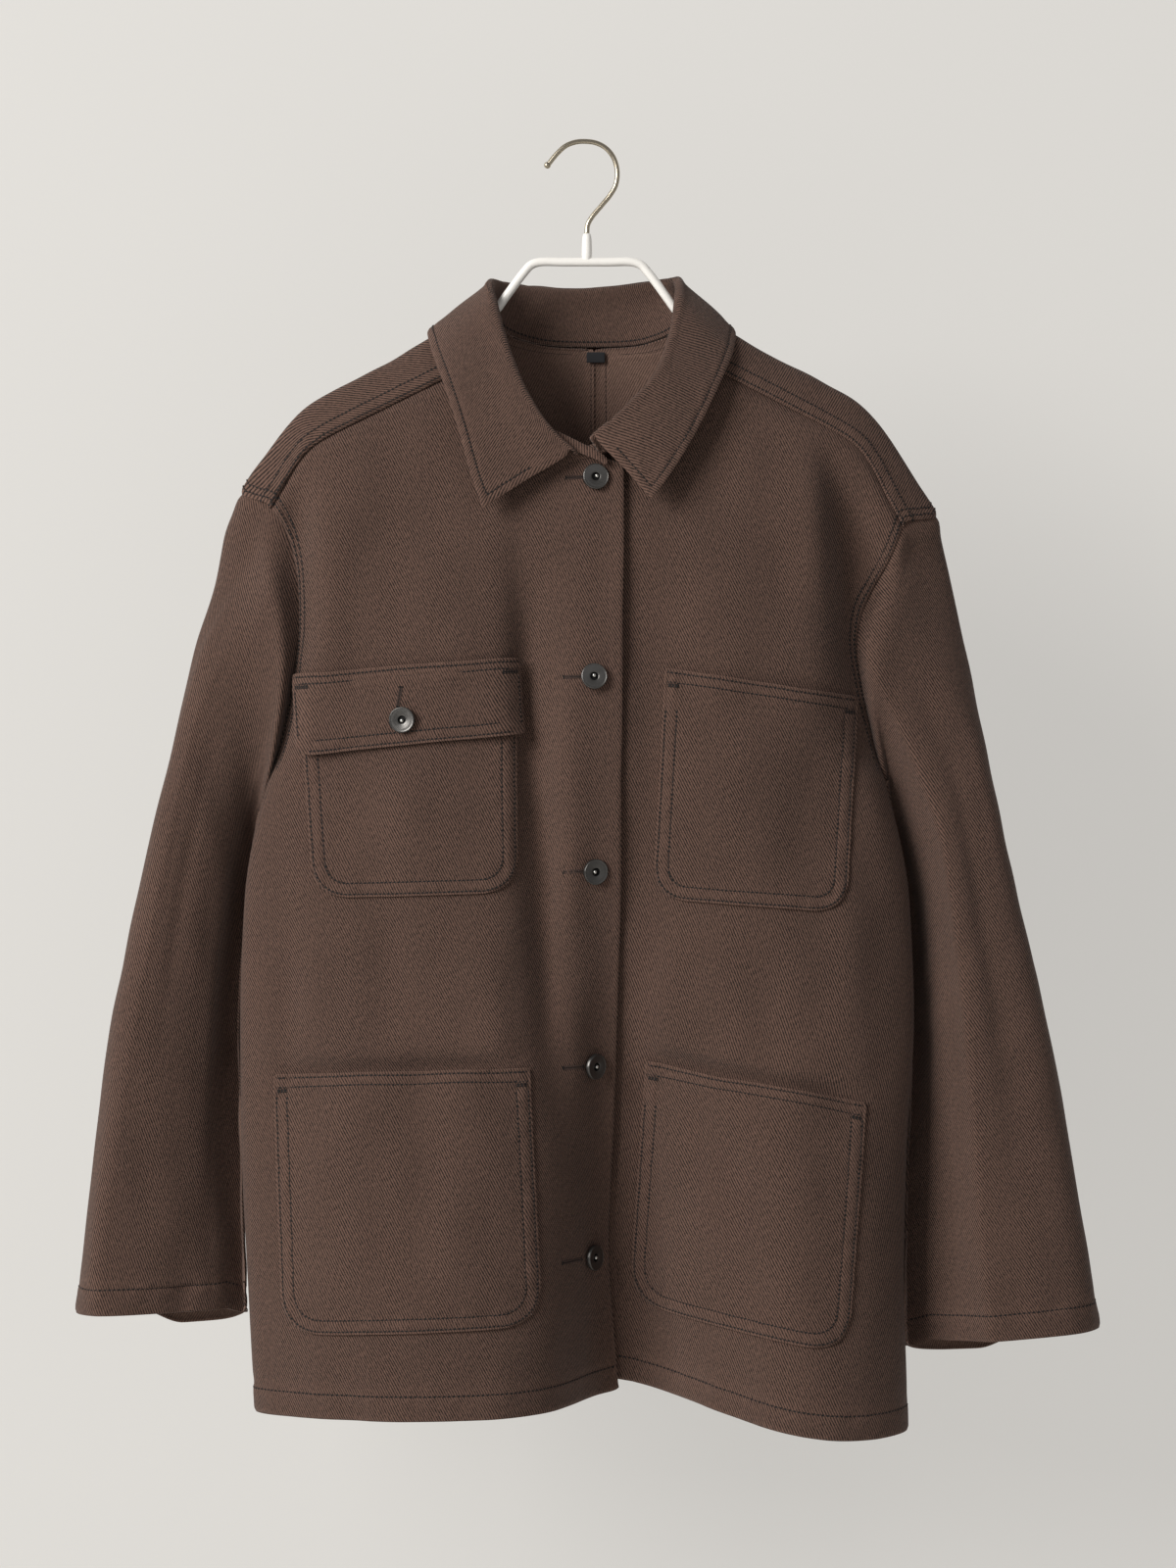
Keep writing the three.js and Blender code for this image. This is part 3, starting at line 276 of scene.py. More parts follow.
# Rows of a body panel. inner is (n, 2), outer (n, 3), and share the place across.
def bodyPoints(side, face, inner, outer, follow, sag, folds, share):
    s = share[None, :]
    ridgeIn, cosIn = ridge(side, inner[:, 0])
    ridgeOut, cosOut = ridge(side, outer[:, 0])
    dropIn, dropOut = (ridgeIn - inner[:, 1]) * cosIn, (ridgeOut - outer[:, 2]) * cosOut
    x = inner[:, :1] + (outer[:, :1] - inner[:, :1]) * s
    hereZ, hereCos = ridge(side, x)
    straight = inner[:, 1:2] + (outer[:, 2:3] - inner[:, 1:2]) * s
    followed = hereZ - (dropIn[:, None] + (dropOut - dropIn)[:, None] * s) / hereCos
    z = straight + (followed - straight) * follow[:, None]
    z = z - sag[:, None] * np.sin(math.pi * s ** side["sagPlace"])
    swell = 0
    if face > 0:
        away = np.hypot(x - backSwell["x"], z - backSwell["z"])
        swell = backSwell["lift"] * bell(away, backSwell["reach"])
    lie = np.where(s < 1, (1 - np.minimum(s, 1) ** hang["square"]) ** (1 / hang["square"]), 0)
    middle = standOff((hereZ - z) * hereCos) + (swell + foldLift(folds, x, z)) * smooth((hereZ - z) / 40)
    rim = np.abs(outer[:, 1:2])
    return np.stack([x, face * (rim + (middle - rim) * lie), z], axis=-1)


# Places from 0 to length, close together near each mark
def steps(length, pitch, marks=(), fine=0.7):
    places = [0.0]
    growth = 0.55
    while places[-1] < length:
        here = places[-1]
        near = min([abs(here - m) for m in marks] + [1e9])
        places.append(here + min(pitch, max(fine, near * growth)))
    places = np.array(places)
    return places * length / places[-1]


# Moves the points of each row to the same even shares of its length
def evenRows(points, across):
    out = np.empty((len(points), len(across), 3))
    for i, row in enumerate(points):
        reach = runAlong(row)
        for k in range(3):
            out[i, :, k] = np.interp(across * reach[-1], reach, row[:, k])
    return out


# Unit normals of a grid of points
def gridNormals(points, closed=False):
    up = np.empty_like(points)
    up[1:-1] = points[2:] - points[:-2]
    up[0], up[-1] = points[1] - points[0], points[-1] - points[-2]
    if closed:
        across = np.roll(points, -1, axis=1) - np.roll(points, 1, axis=1)
    else:
        across = np.empty_like(points)
        across[:, 1:-1] = points[:, 2:] - points[:, :-2]
        across[:, 0], across[:, -1] = points[:, 1] - points[:, 0], points[:, -1] - points[:, -2]
    n = np.cross(up, across)
    return n / np.maximum(np.linalg.norm(n, axis=2, keepdims=True), 1e-9)


# How far along the cloth rows share their extra length, in mm
steadyReach = 110


# Evens out the extra length of neighbouring rows, which keeps the wales straight
def steady(extra, along):
    weight = bell(along[:, None] - along[None, :], steadyReach)
    return (weight / weight.sum(axis=1, keepdims=True)) @ extra


# Grain coordinates: across the cloth, and up it. sign turns the first to the right as seen from outside
def clothCoordinates(points, sign):
    across, up = runAlong(points[..., :2], 1), runAlong(points[..., 1:], 0)
    third = points[len(points) // 3, :, 0]
    run = np.sign(third[-1] - third[0])
    x, z = points[..., 0], points[..., 2]
    extra = steady(x[:, :1] + run * across - x, up.mean(axis=1))
    climb = np.median(up - (z - z[:1]), axis=1)
    return sign * (x + extra), z + climb[:, None]


# The rounding of a free edge
def edgeRoll(distance, depth=0.9, reach=1.3):
    return -depth * bell(distance, reach)


# The groove under a row of stitches
def stitchDip(distance, at, depth=0.42, reach=0.95):
    return -depth * bell(distance - at, reach)


# A second thickness of cloth, from an edge to its end
def turning(distance, end, lift, over=1.2):
    return lift * (1 - smooth((distance - end) / over))


# Small puckers beside a seam, strongest where the distance is at
def puckers(u, v, distance, lift, wave, seed, at, reach):
    return lift * softNoise(u, v, wave, seed) * bell(distance - at, reach)


# A mesh from points in mm, with its cloth coordinates and its worn places
def makeMesh(name, points, faces, uv=None, wear=None):
    mesh = bpy.data.meshes.new(name)
    mesh.from_pydata((np.asarray(points).reshape(-1, 3) * mm).tolist(), [], faces)
    if uv is not None:
        layer = mesh.uv_layers.new(name="cloth")
        loops = np.empty(len(mesh.loops), dtype=np.int64)
        mesh.loops.foreach_get("vertex_index", loops)
        flat = np.asarray(uv).reshape(-1, 2) * mm
        layer.data.foreach_set("uv", flat[loops].astype(np.float32).ravel())
    if wear is not None:
        mark = mesh.attributes.new("wear", "FLOAT", "POINT")
        mark.data.foreach_set("value", np.clip(np.asarray(wear), 0, 1).astype(np.float32).ravel())
    mesh.polygons.foreach_set("use_smooth", [True] * len(mesh.polygons))
    mesh.update()
    obj = bpy.data.objects.new(name, mesh)
    bpy.context.scene.collection.objects.link(obj)
    return obj


def gridFaces(rows, cols, closed=False, flip=False):
    i = np.arange(rows - 1)[:, None] * cols
    j = np.arange(cols if closed else cols - 1)[None, :]
    k = (j + 1) % cols
    a, b, c, d = i + j, i + cols + j, i + cols + k, i + k
    quads = np.stack([a, d, c, b] if flip else [a, b, c, d], axis=-1).reshape(-1, 4)
    return quads.tolist()


def gridArea(points):
    a = np.cross(points[1:, 1:] - points[:-1, :-1], points[1:, :-1] - points[:-1, 1:])
    return np.linalg.norm(a, axis=2).sum() / 2


# A thin shell round a grid of points, with the cloth's outer face first and its inner one behind
def clothPiece(name, points, normals, uv, wear, wall, materials, closed=False, node=None):
    rows, cols = points.shape[:2]
    if closed:
        points = np.concatenate([points, points[:, :1]], axis=1)
        cols += 1
    i, j = rows // 2, cols // 3
    turn = np.cross(points[i + 1, j] - points[i, j], points[i, j + 1] - points[i, j])
    faces = gridFaces(rows, cols, False, np.dot(turn, normals[i, j]) < 0)
    obj = makeMesh(name + "_cloth", points, faces, uv, wear)
    if closed:
        weld = obj.modifiers.new("seam", "WELD")
        weld.merge_threshold = 0.00001
    addWall(obj, wall, materials)
    finishPiece(obj, node or name)
    width, length = np.ptp(uv[..., 0]) * mm, max(leastFlat, np.ptp(uv[..., 1]) * mm)
    addSheet(obj, width, length, gridArea(points) * mm * mm)


# Notes a sheet of cloth
def addSheet(obj, width, length, area):
    sheets.append({"piece": obj, "flat": (width, length), "area": min(area, width * length)})


def addWall(obj, wall, materials):
    for m in materials:
        obj.data.materials.append(m)
    shell = obj.modifiers.new("wall", "SOLIDIFY")
    shell.thickness = wall * mm
    shell.offset = 0
    shell.material_offset = 1


def finishPiece(obj, node):
    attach(obj, "root")
    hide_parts(node)


sheets = []
# The shortest side that a sheet is stated with
leastFlat = 0.0105


# A new material with short forms for its nodes. Inputs are set to values or joined to other nodes' outputs
def materialKit(name):
    mat = bpy.data.materials.new(name)
    mat.use_nodes = True
    nodes, links = mat.node_tree.nodes, mat.node_tree.links

    def fill(n, inputs):
        for key, value in inputs.items():
            if isinstance(value, bpy.types.NodeSocket):
                links.new(value, n.inputs[key])
            else:
                n.inputs[key].default_value = value
        return n

    def node(kind, inputs, **values):
        n = nodes.new("ShaderNode" + kind)
        for key, value in values.items():
            setattr(n, key, value)
        return fill(n, inputs)

    def maths(operation, *terms, clamp=False):
        return node("Math", dict(enumerate(terms)), operation=operation, use_clamp=clamp).outputs[0]

    def noise(scale, detail, vector):
        return node("TexNoise", {"Scale": scale, "Detail": detail, "Vector": vector}).outputs["Fac"]

    return mat, fill, node, maths, noise


# The weave in metres of cloth: wales apart across it, and weft threads apart up it
weave = {"wales": 0.00177, "weft": 0.0011, "steep": 0.5, "sway": 1.6}
# Thick and thin places in the yarn: how many for each metre over a wale and along it
slubScale = {"over": 880, "along": 360, "cos": 0.894, "sin": 0.447}


# Steep diagonal wales in the cloth's own coordinates, uneven dye, and paler worn ridges
def twillMaterial(name, light, dark, wale=1.0, relief=1.0, fade=1.0):
    mat, fill, node, maths, noise = materialKit(name)
    uv = node("UVMap", {}, uv_map="cloth").outputs[0]
    parts = node("SeparateXYZ", {0: uv})
    u, v = parts.outputs[0], parts.outputs[1]
    wear = node("Attribute", {}, attribute_name="wear").outputs["Fac"]
    grain, cloud = noise(900, 2, uv), noise(14, 5, uv)

    # two up for one across
    turn = 2 * math.pi / weave["wales"]
    phase = maths("ADD", maths("MULTIPLY", u, turn), maths("MULTIPLY", v, turn * weave["steep"]))
    phase = maths("ADD", phase, maths("MULTIPLY", noise(130, 3, uv), weave["sway"]))
    wales = maths("MULTIPLY_ADD", maths("SINE", phase), 0.5, 0.5)
    cos, sin = slubScale["cos"], slubScale["sin"]
    over = maths("ADD", maths("MULTIPLY", u, cos), maths("MULTIPLY", v, sin))
    along = maths("SUBTRACT", maths("MULTIPLY", v, cos), maths("MULTIPLY", u, sin))
    place = node("CombineXYZ", {0: maths("MULTIPLY", over, slubScale["over"]),
                                1: maths("MULTIPLY", along, slubScale["along"])})
    slub = noise(1.0, 2, place.outputs[0])
    slubs = node("MapRange", {"From Min": 0.32, "From Max": 0.68, "Value": slub}).outputs[0]
    weft = maths("SINE", maths("MULTIPLY", v, 2 * math.pi / weave["weft"]))

    def summed(*shares):
        result = None
        for value, share in shares:
            term = maths("MULTIPLY", value, share)
            result = term if result is None else maths("ADD", result, term)
        return result

    height = summed((wales, 1), (weft, 0.12), (grain, 0.5), (slubs, 0.8))
    worn = maths("MULTIPLY", noise(260, 4, uv), 0.5 * fade)
    tone = summed((wales, 0.95 * wale), (slubs, 0.42 * wale), (grain, 0.28),
                  (maths("SUBTRACT", cloud, 0.5), 0.2), (wear, worn))
    tone = maths("ADD", tone, 0.49 - 0.78 * wale, clamp=True)
    color = node("Mix", {0: tone, 6: (*dark, 1), 7: (*light, 1)}, data_type="RGBA").outputs[2]
    pucker = maths("MULTIPLY", noise(120, 2, uv), maths("ADD", maths("MULTIPLY", wear, 0.8), 0.12))
    coarse = node("Bump", {"Strength": 0.55, "Distance": 0.0016, "Height": pucker}).outputs[0]
    fine = node("Bump", {"Strength": 0.7 * relief, "Distance": 0.00035, "Height": height, "Normal": coarse})
    fill(mat.node_tree.nodes["Principled BSDF"], {
        "Base Color": color, "Normal": fine.outputs[0], "Roughness": 0.93, "Specular IOR Level": 0.22,
        "Sheen Weight": 0.06, "Sheen Roughness": 0.6})
    return mat


# An even finish with a little unevenness in tone, gloss and surface
def plainMaterial(name, color, rough, metal=0.0, spotty=0.0, scale=600, coat=0.0):
    mat, fill, node, _, noise = materialKit(name)
    spots = noise(scale, 4, node("TexCoord", {}).outputs["Object"])
    low, high = [c * (1 - spotty) for c in color], [min(1, c * (1 + spotty)) for c in color]
    tone = node("Mix", {0: spots, 6: (*low, 1), 7: (*high, 1)}, data_type="RGBA").outputs[2]
    smoothest, roughest = max(0.03, rough - 0.1), min(1, rough + 0.1)
    gloss = node("MapRange", {"To Min": smoothest, "To Max": roughest, "Value": spots})
    bump = node("Bump", {"Strength": 0.25, "Distance": 0.0001, "Height": spots})
    fill(mat.node_tree.nodes["Principled BSDF"], {
        "Base Color": tone, "Roughness": gloss.outputs[0], "Normal": bump.outputs[0], "Metallic": metal,
        "Coat Weight": coat})
    return mat


# The usual 0 to 255 colour as shader values
def linear(r, g, b):
    return tuple(((c / 255 + 0.055) / 1.055) ** 2.4 if c > 10 else c / 255 / 12.92 for c in (r, g, b))


twill = twillMaterial("drillFace", linear(105, 80, 69), linear(17, 11, 8))
twillInner = twillMaterial("drillInner", linear(128, 101, 89), linear(44, 32, 26), 0.62, 0.7, 0.4)
twillCollar = twillMaterial("drillCollar", linear(107, 82, 71), linear(18, 12, 9))
threadTone = plainMaterial("thread", linear(62, 46, 40), 0.8, 0.0, 0.25, 1500)
# this dark colour is painted shade in the needle holes and buttonhole slits; the buttonhole bars take it too
holeShadeTone = plainMaterial("paintedHoleShade", linear(9, 6, 5), 0.9, 0.0, 0.2, 1500)
gunmetal = plainMaterial("gunmetal", linear(92, 90, 88), 0.36, 0.9, 0.14, 900)
# a dark copy of the gunmetal, painted as shade in the buttons' hollows
gunmetalShade = plainMaterial("gunmetalHollowShade", linear(16, 15, 15), 0.6, 0.6, 0.2, 900)
# a bright copy of the metal, painted as the highlight on the tack end in each button's hollow
tackHighlightMetal = plainMaterial("tackPaintedHighlight", linear(205, 203, 198), 0.28, 1.0, 0.05, 900)
coating = plainMaterial("whiteCoating", linear(240, 237, 232), 0.34, 0.0, 0.02, 300, 0.25)
hookMetal = plainMaterial("hookWire", linear(178, 168, 150), 0.26, 1.0, 0.06, 700)
tabCloth = plainMaterial("tabTape", linear(26, 26, 29), 0.85, 0.0, 0.35, 2500)
print("materials made")

clothMats = [twill, twillInner]
collarMats = [twillCollar, twillCollar]


# The body
# The key rows of a front (face -1) or back (face 1) from the hem up, and which of them is the armpit's
def keyedRows(name, face):
    side = sides[name]
    levels = bodyLevels[name]
    flat = np.zeros(len(levels))
    if face < 0:
        inner = levels[:, [0, 1]]
        sag = side["sag"] * smooth((-640 - levels[:, 3]) / 200)
        upper = frontRows[name]
    else:
        inner = np.stack([np.full(len(levels), 6.0), levels[:, 4]], axis=1)
        sag = flat
        upper = backRows[name]
    low = np.column_stack([inner, levels[:, 2], flat, levels[:, 3], flat, sag])
    high = np.column_stack([upper, np.zeros(len(upper))])
    return np.vstack([low, high]), len(levels) - 1


# How many key rows the way from the back up to the ridge of the shoulder counts for
overRows = 3


# Fine points of a front or back, the key row that each fine row is at, and the key row of the armpit
def bodyGrid(name, face):
    side = sides[name]
    keys, pit = keyedRows(name, face)
    reach = runAlong(keys[:, 2:5])
    marks = [0, 17.5, reach[-1]]
    places = steps(reach[-1], cloth["pitch"], marks)
    rows = monotoneCurve(reach, keys, places)
    index = np.interp(places, reach, np.arange(len(keys)))
    folds = frontFolds + frontCreases if face < 0 else backFolds + backCreases
    share = np.sin(np.linspace(0, math.pi / 2, 260))
    share[-1] = 1
    grid = bodyPoints(side, face, rows[:, :2], rows[:, 2:5], rows[:, 5], rows[:, 6], folds, share)
    if face > 0:
        over = overShoulder[name]
        seam = frontRows[name][-1]
        drops = []
        for end in (keys[-1], seam):
            zin, cin = ridge(side, end[0])
            zout, cout = ridge(side, end[2])
            drops.append(((zin - end[1]) * cin, (zout - end[4]) * cout))
        w = np.concatenate([np.linspace(1, 0.1, 14)[1:], np.linspace(0.08, -0.08, 5),
                            np.linspace(-0.1, -0.9, 10), [-0.93, -0.96, -0.98, -1, -1.03]])
        at = monotoneCurve(-over[:, 0], over[:, 1:], -np.clip(w, -1, 1))
        back, front = drops
        dropIn = np.where(w > 0, back[0], front[0]) * w * w
        dropOut = np.where(w > 0, back[1], front[1]) * w * w
        # the armhole end keeps the depth of the rows that it joins
        rimBack, rimFront = abs(keys[-1][3]), abs(seam[3])
        rim = standOff(dropOut) * np.where(w > 0, rimBack / standOff(back[1]), rimFront / standOff(front[1]))
        zin, cin = ridge(side, at[:, 0])
        zout, cout = ridge(side, at[:, 1])
        inner = np.stack([at[:, 0], zin - dropIn / cin], axis=1)
        outer = np.stack([at[:, 1], rim, zout - dropOut / cout], axis=1)
        ones = np.ones(len(w))
        behind = bodyPoints(side, 1, inner, outer, ones, ones * 0, backFolds, share)
        before = bodyPoints(side, -1, inner, outer, ones, ones * 0, frontFolds, share)
        strip = np.where((w > 0)[:, None, None], behind, before)
        grid = np.concatenate([grid, strip])
        index = np.concatenate([index, len(keys) - 1 + (1 - w) * overRows])
    length = np.linalg.norm(np.diff(grid[len(grid) // 3], axis=0), axis=1).sum()
    innerMarks = [0, 2.5, 9.5] if face > 0 else [0, 5.5]
    across = steps(length, cloth["pitch"], innerMarks + [length, length - 2.5]) / length
    return evenRows(grid, across), index, pit


# Distances along a panel to its inner and outer edges, its hem and its top
def nearestEdges(grid):
    across, up = runAlong(grid, 1), runAlong(grid, 0)
    return {"inner": across, "outer": across[:, -1:] - across, "hem": up, "top": up[-1:] - up}


# Soft waves that cover the cloth
def reliefOf(u, v, seed):
    return 0.75 * softNoise(u, v, 95, seed, 1.8) + 0.3 * softNoise(u, v, 34, seed + 1, 1.4)


# Where the fronts sink behind a pocket's mouth: its two ends and how deep, and how far that reaches
mouthDips = {"right": [(-212, -621, -30, -615, 5.2), (-190, -410, -46, -396, 1.0)],
             "left": [(34, -612, 192, -641, 5.4), (50, -352, 184, -371, 2.6)]}
dipReach = {"above": 6, "below": 26}
# Rows of stitches on the panels, in mm from the edge that they follow
seamRows = {"hem": 16.2, "side": (3.4, 8.2), "shoulder": (2.4, 9.4), "centre": (2.2, 8.8)}

# The hollow along the front of each armhole: its depth, and how far it reaches over the body and the sleeve
hollow = {"right": {"depth": 10, "body": 13, "sleeve": 11, "swell": 13},
          "left": {"depth": 18, "body": 25, "sleeve": 13, "swell": 3}}


# Key rows of a front from the armpit to the shoulder seam, and of a back to where it turns over the shoulder
frontCount, backCount = len(frontRows["right"]), len(backRows["right"])


# How much of the hollow there is at a front's row above the armpit
def hollowBy(t):
    return smooth((t - 0.1) / 1.5) * smooth((frontCount - 0.1 - t) / 2.2)


panels = {}
for name in ("right", "left"):
    for face in (-1, 1):
        grid, index, pit = bodyGrid(name, face)
        panel = ("front_" if face < 0 else "back_") + name
        panels[panel] = {"grid": grid, "index": index, "pit": pit, "face": face, "side": name}


# Normals and grain of a panel. The left front lies under the right one near their edges
def placePanel(name, p):
    grid = p["grid"]
    normals = gridNormals(grid)
    if np.mean(normals[..., 1]) * p["face"] < 0:
        normals = -normals
    if name == "front_left":
        share = np.abs(grid[..., 0] - grid[:, :1, 0]) / np.abs(grid[:, -1:, 0] - grid[:, :1, 0])
        by = cloth["tuck"] * (1 - smooth((share - 0.2) / 0.5)) * smooth((-150 - grid[..., 2]) / 40)
        grid = grid - (by[..., None] * normals) * np.array([1, 1, 0])
    p["normals"], p["grid"] = normals, grid
    u, v = clothCoordinates(grid, 1 if p["face"] < 0 else -1)
    # the strip over the shoulder keeps the back's grain, turned over at the ridge
    if p["face"] > 0:
        strip = p["index"] > len(keyedRows(p["side"], 1)[0]) + overRows - 1.01
        x, z = grid[strip, :, 0], grid[strip, :, 2]
        top, cos = ridge(sides[p["side"]], x)
        down = np.maximum(0, (top - z) * cos)
        sign = sides[p["side"]]["sign"]
        lean = math.atan(hang["slope"])
        shiftU, shiftV = u[strip][0] + x[0], v[strip][0] - z[0]
        u[strip] = shiftU - (x + 2 * down * sign * math.sin(lean))
        v[strip] = shiftV + z + 2 * down * math.cos(lean)
    p["uv"] = np.stack([u, v], axis=-1)


# Relief and wear of a front alone
def frontRelief(name, p):
    grid, fromInner, fromTop = p["grid"], p["from"]["inner"], p["from"]["top"]
    # the button edge is a plain fold
    lift = edgeRoll(fromInner) + (1.8 * bell(fromInner, 14) if name == "front_right" else 0)
    wear = 0.7 * bell(fromInner, 2.0) + 0.15 * bell(fromInner - 5, 5)
    # the top goes in under the back's folded edge
    lift += turning(fromTop, 2, -1.7, 5)
    for x0, z0, x1, z1, depth in mouthDips[p["side"]]:
        along = (grid[..., 0] - x0) / (x1 - x0)
        above = grid[..., 2] - (z0 + (z1 - z0) * along)
        inReach = smooth(along * 5) * smooth((1 - along) * 5)
        lift -= depth * inReach * bell(above, np.where(above > 0, dipReach["above"], dipReach["below"]))
    return lift, wear


# Relief and wear of a back alone
def backRelief(name, p):
    u, v = p["uv"][..., 0], p["uv"][..., 1]
    fromInner, fromTop = p["from"]["inner"], p["from"]["top"]
    first, second = seamRows["shoulder"]
    lift = turning(fromTop, 10.2, 0.75, 1.6) + edgeRoll(fromTop, 1.0, 1.1)
    lift += stitchDip(fromTop, first - 0.2, 0.35) + stitchDip(fromTop, second, 0.4)
    lift += puckers(u, v, fromTop, 0.22, 14, 37, 6, 8)
    wear = 0.55 * bell(fromTop, 2) + 0.3 * bell(fromTop - 7, 6) + 0.4 * bell(fromInner - 4, 5)
    # the centre back seam is felled to the left
    if name == "back_left":
        lift += turning(fromInner, 9.8, 0.6, 1.6) + edgeRoll(fromInner, 0.9, 1.0)
        lift += sum(stitchDip(fromInner, at, 0.35) for at in seamRows["centre"])
    else:
        lift += edgeRoll(fromInner, 1.0, 1.6)
    return lift, wear


def buildPanel(name, p):
    grid, normals = p["grid"], p["normals"]
    p["from"] = nearestEdges(grid)
    fromInner, fromOuter, fromHem, fromTop = p["from"].values()
    u, v = p["uv"][..., 0], p["uv"][..., 1]
    lift = reliefOf(u, v, 3 if p["face"] < 0 else 11)
    lift = lift * smooth(fromTop / 30) * smooth(fromOuter / 25) * smooth(fromInner / 20)
    wear = np.zeros_like(lift)
    # turned-up hem with one row of stitches
    lift += turning(fromHem, 16.6, 0.35) + stitchDip(fromHem, seamRows["hem"]) + edgeRoll(fromHem)
    lift += puckers(u, v, fromHem, 0.34, 17, 23, 13, 11)
    wear += 0.5 * bell(fromHem, 2.2) + 0.35 * bell(fromHem - 17, 6)
    # side seam and armhole sink a little where the pieces meet
    below = smooth((np.arange(len(grid)) - 4) / 6)[:, None]
    lift += edgeRoll(fromOuter, 1.0, 1.5) * below
    wear += 0.35 * bell(fromOuter, 4)
    moreLift, moreWear = frontRelief(name, p) if p["face"] < 0 else backRelief(name, p)
    p["points"] = grid + normals * (lift + moreLift)[..., None]
    wear += moreWear
    if p["face"] < 0:
        # beside the sleeve the cloth falls back into a hollow
        here = hollow[p["side"]]
        fromArmhole = grid[..., 0] - grid[:, -1:, 0]
        back = here["depth"] * hollowBy(p["index"] - p["pit"])[:, None] * bell(fromArmhole, here["body"])
        p["points"][..., 1] += back
    clothPiece(name, p["points"], normals, p["uv"], wear, cloth["wall"], clothMats)


for name, p in panels.items():
    placePanel(name, p)
    buildPanel(name, p)
print("body made")


# Sleeves: rings from the armhole to the cuff

# Angles round the armhole: armpit, seam in front, ridge, the back's last key row, and armpit again
arm = {"pit": -90, "seam": 66, "ridge": 90, "back": 144, "whole": 270}


# The armhole edge as angles round the sleeve, 0 in front and 90 at the shoulder, with its points
def armholeLoop(name):
    places = []
    front, back = panels["front_" + name], panels["back_" + name]
    for p in (front, back):
        t = p["index"] - p["pit"]
        edge = p["grid"][:, -1]
        top = len(keyedRows(name, p["face"])[0]) - 1 - p["pit"]
        if p["face"] < 0:
            angle = arm["pit"] + (arm["seam"] - arm["pit"]) * t / frontCount
            lowest = arm["pit"] - 1
        else:
            w = 1 - (t - top) / overRows
            over = arm["ridge"] + np.where(w > 0, arm["back"] - arm["ridge"], arm["ridge"] - arm["seam"]) * w
            angle = np.where(t <= top, arm["whole"] - (arm["whole"] - arm["back"]) * t / backCount, over)
            lowest = arm["seam"] + 0.5
        use = (t >= -0.001) & (angle > lowest) & (angle < arm["whole"] + 0.01)
        places += [(a, *e) for a, e in zip(angle[use], edge[use])]
    return np.array(sorted(places))


# Rings of a sleeve at the given key rows, with the angle of each column
def sleevePoints(name, count, kRows, folds):
    loop = armholeLoop(name)
    wrapped = np.vstack([loop, loop[:1] + [360, 0, 0, 0]])
    angles = np.linspace(arm["pit"], arm["whole"], count, endpoint=False)
    start = np.stack([np.interp(angles, wrapped[:, 0], wrapped[:, k]) for k in (1, 2, 3)], axis=-1)
    table = sleeveRows[name]
    tip = loop[np.argmax(loop[:, 3])]
    pit = loop[0]
    keys = np.vstack([[tip[1], tip[3], pit[1], pit[3], 0, 26], table])
    rows = monotoneCurve(np.arange(len(keys)), keys, kRows)
    a = np.radians(angles)
    across = np.sign(np.sin(a)) * np.abs(np.sin(a)) ** (2 / sleeveForm["square"])
    deep = -np.sign(np.cos(a)) * np.abs(np.cos(a)) ** (2 / sleeveForm["square"])
    share = (across + 1) / 2

    def rings(r):
        outX, outZ, inX, inZ, back, depth = (r[:, k:k + 1] for k in range(6))
        x, z = inX + (outX - inX) * share, inZ + (outZ - inZ) * share
        return np.stack([x, back + deep * depth, z], axis=-1)

    points = rings(rows)
    own = start - rings(keys[:1])[0]
    k = kRows[:, None]
    keep = 1 - smooth(k / sleeveForm["fade"])
    points = points + keep[..., None] * own
    centre = np.stack([(rows[:, 0] + rows[:, 2]) / 2, rows[:, 4], (rows[:, 1] + rows[:, 3]) / 2], axis=-1)
    out = points - centre[:, None]
    out /= np.linalg.norm(out, axis=2, keepdims=True)
    for angle, fromRow, toRow, lift, wide in folds:
        off = (angles - angle + 540) % 360 - 180
        along = smooth((k - fromRow) / 3) * smooth((toRow - k) / 3)
        points = points + out * (lift * along * bell(off, wide))[..., None]
    down = smooth(k / len(table))
    # the front falls back on the side by the body
    over, depth, rim = sleeveForm["fallBack"][name]
    inward = np.clip((over - share) / over, 0, 1)
    falls = depth * inward * (1.4 - 0.4 * inward) + rim * smooth((0.18 - share) / 0.16)
    points[..., 1] += falls * np.sqrt(np.maximum(0, -deep)) * smooth(k / 3.5)
    # the cuff's back hangs lower than its front on the side by the body
    behind = np.maximum(0, (points[..., 1] - rows[:, 4:5]) / rows[:, 5:6])
    behind = behind * (0.2 + 0.8 * smooth((0.7 - share) / 0.3))
    points[..., 2] -= sleeveForm["cuffDrop"] * down**2 * behind
    return points, angles


# The row of stitches round each cuff, in mm from its edge
cuffRow = 17.2


# Grain of a sleeve. The front keeps its wales straight, the back its own lengths round the sleeve
def sleeveGrain(name, points, angles, v):
    closedPoints = np.concatenate([points, points[:, :1]], axis=1)
    turned = np.append(angles, arm["whole"])
    axis = points[-1].mean(axis=0) - points[len(points) // 4].mean(axis=0)
    axis /= np.linalg.norm(axis)
    d = np.diff(closedPoints, axis=1)
    d = np.linalg.norm(d - (d @ axis)[..., None] * axis, axis=2)
    around = np.concatenate([np.zeros((len(points), 1)), np.cumsum(d, axis=1)], axis=1)
    front = np.array([np.interp(0, turned, row) for row in around])
    right = np.array([1.0, 0, 0]) - axis[0] * axis
    right /= np.linalg.norm(right)
    sign = 1 if name == "left" else -1
    middleFront = points[:, len(angles) // 4]
    u = sign * (around - front[:, None]) + (middleFront @ right)[:, None]
    flat = closedPoints @ right
    behind = smooth((turned - 80) / 40)[None, :]
    u = u * behind + (flat + steady(u - flat, v)) * (1 - behind)
    return np.stack([u, -(closedPoints @ axis)], axis=-1)


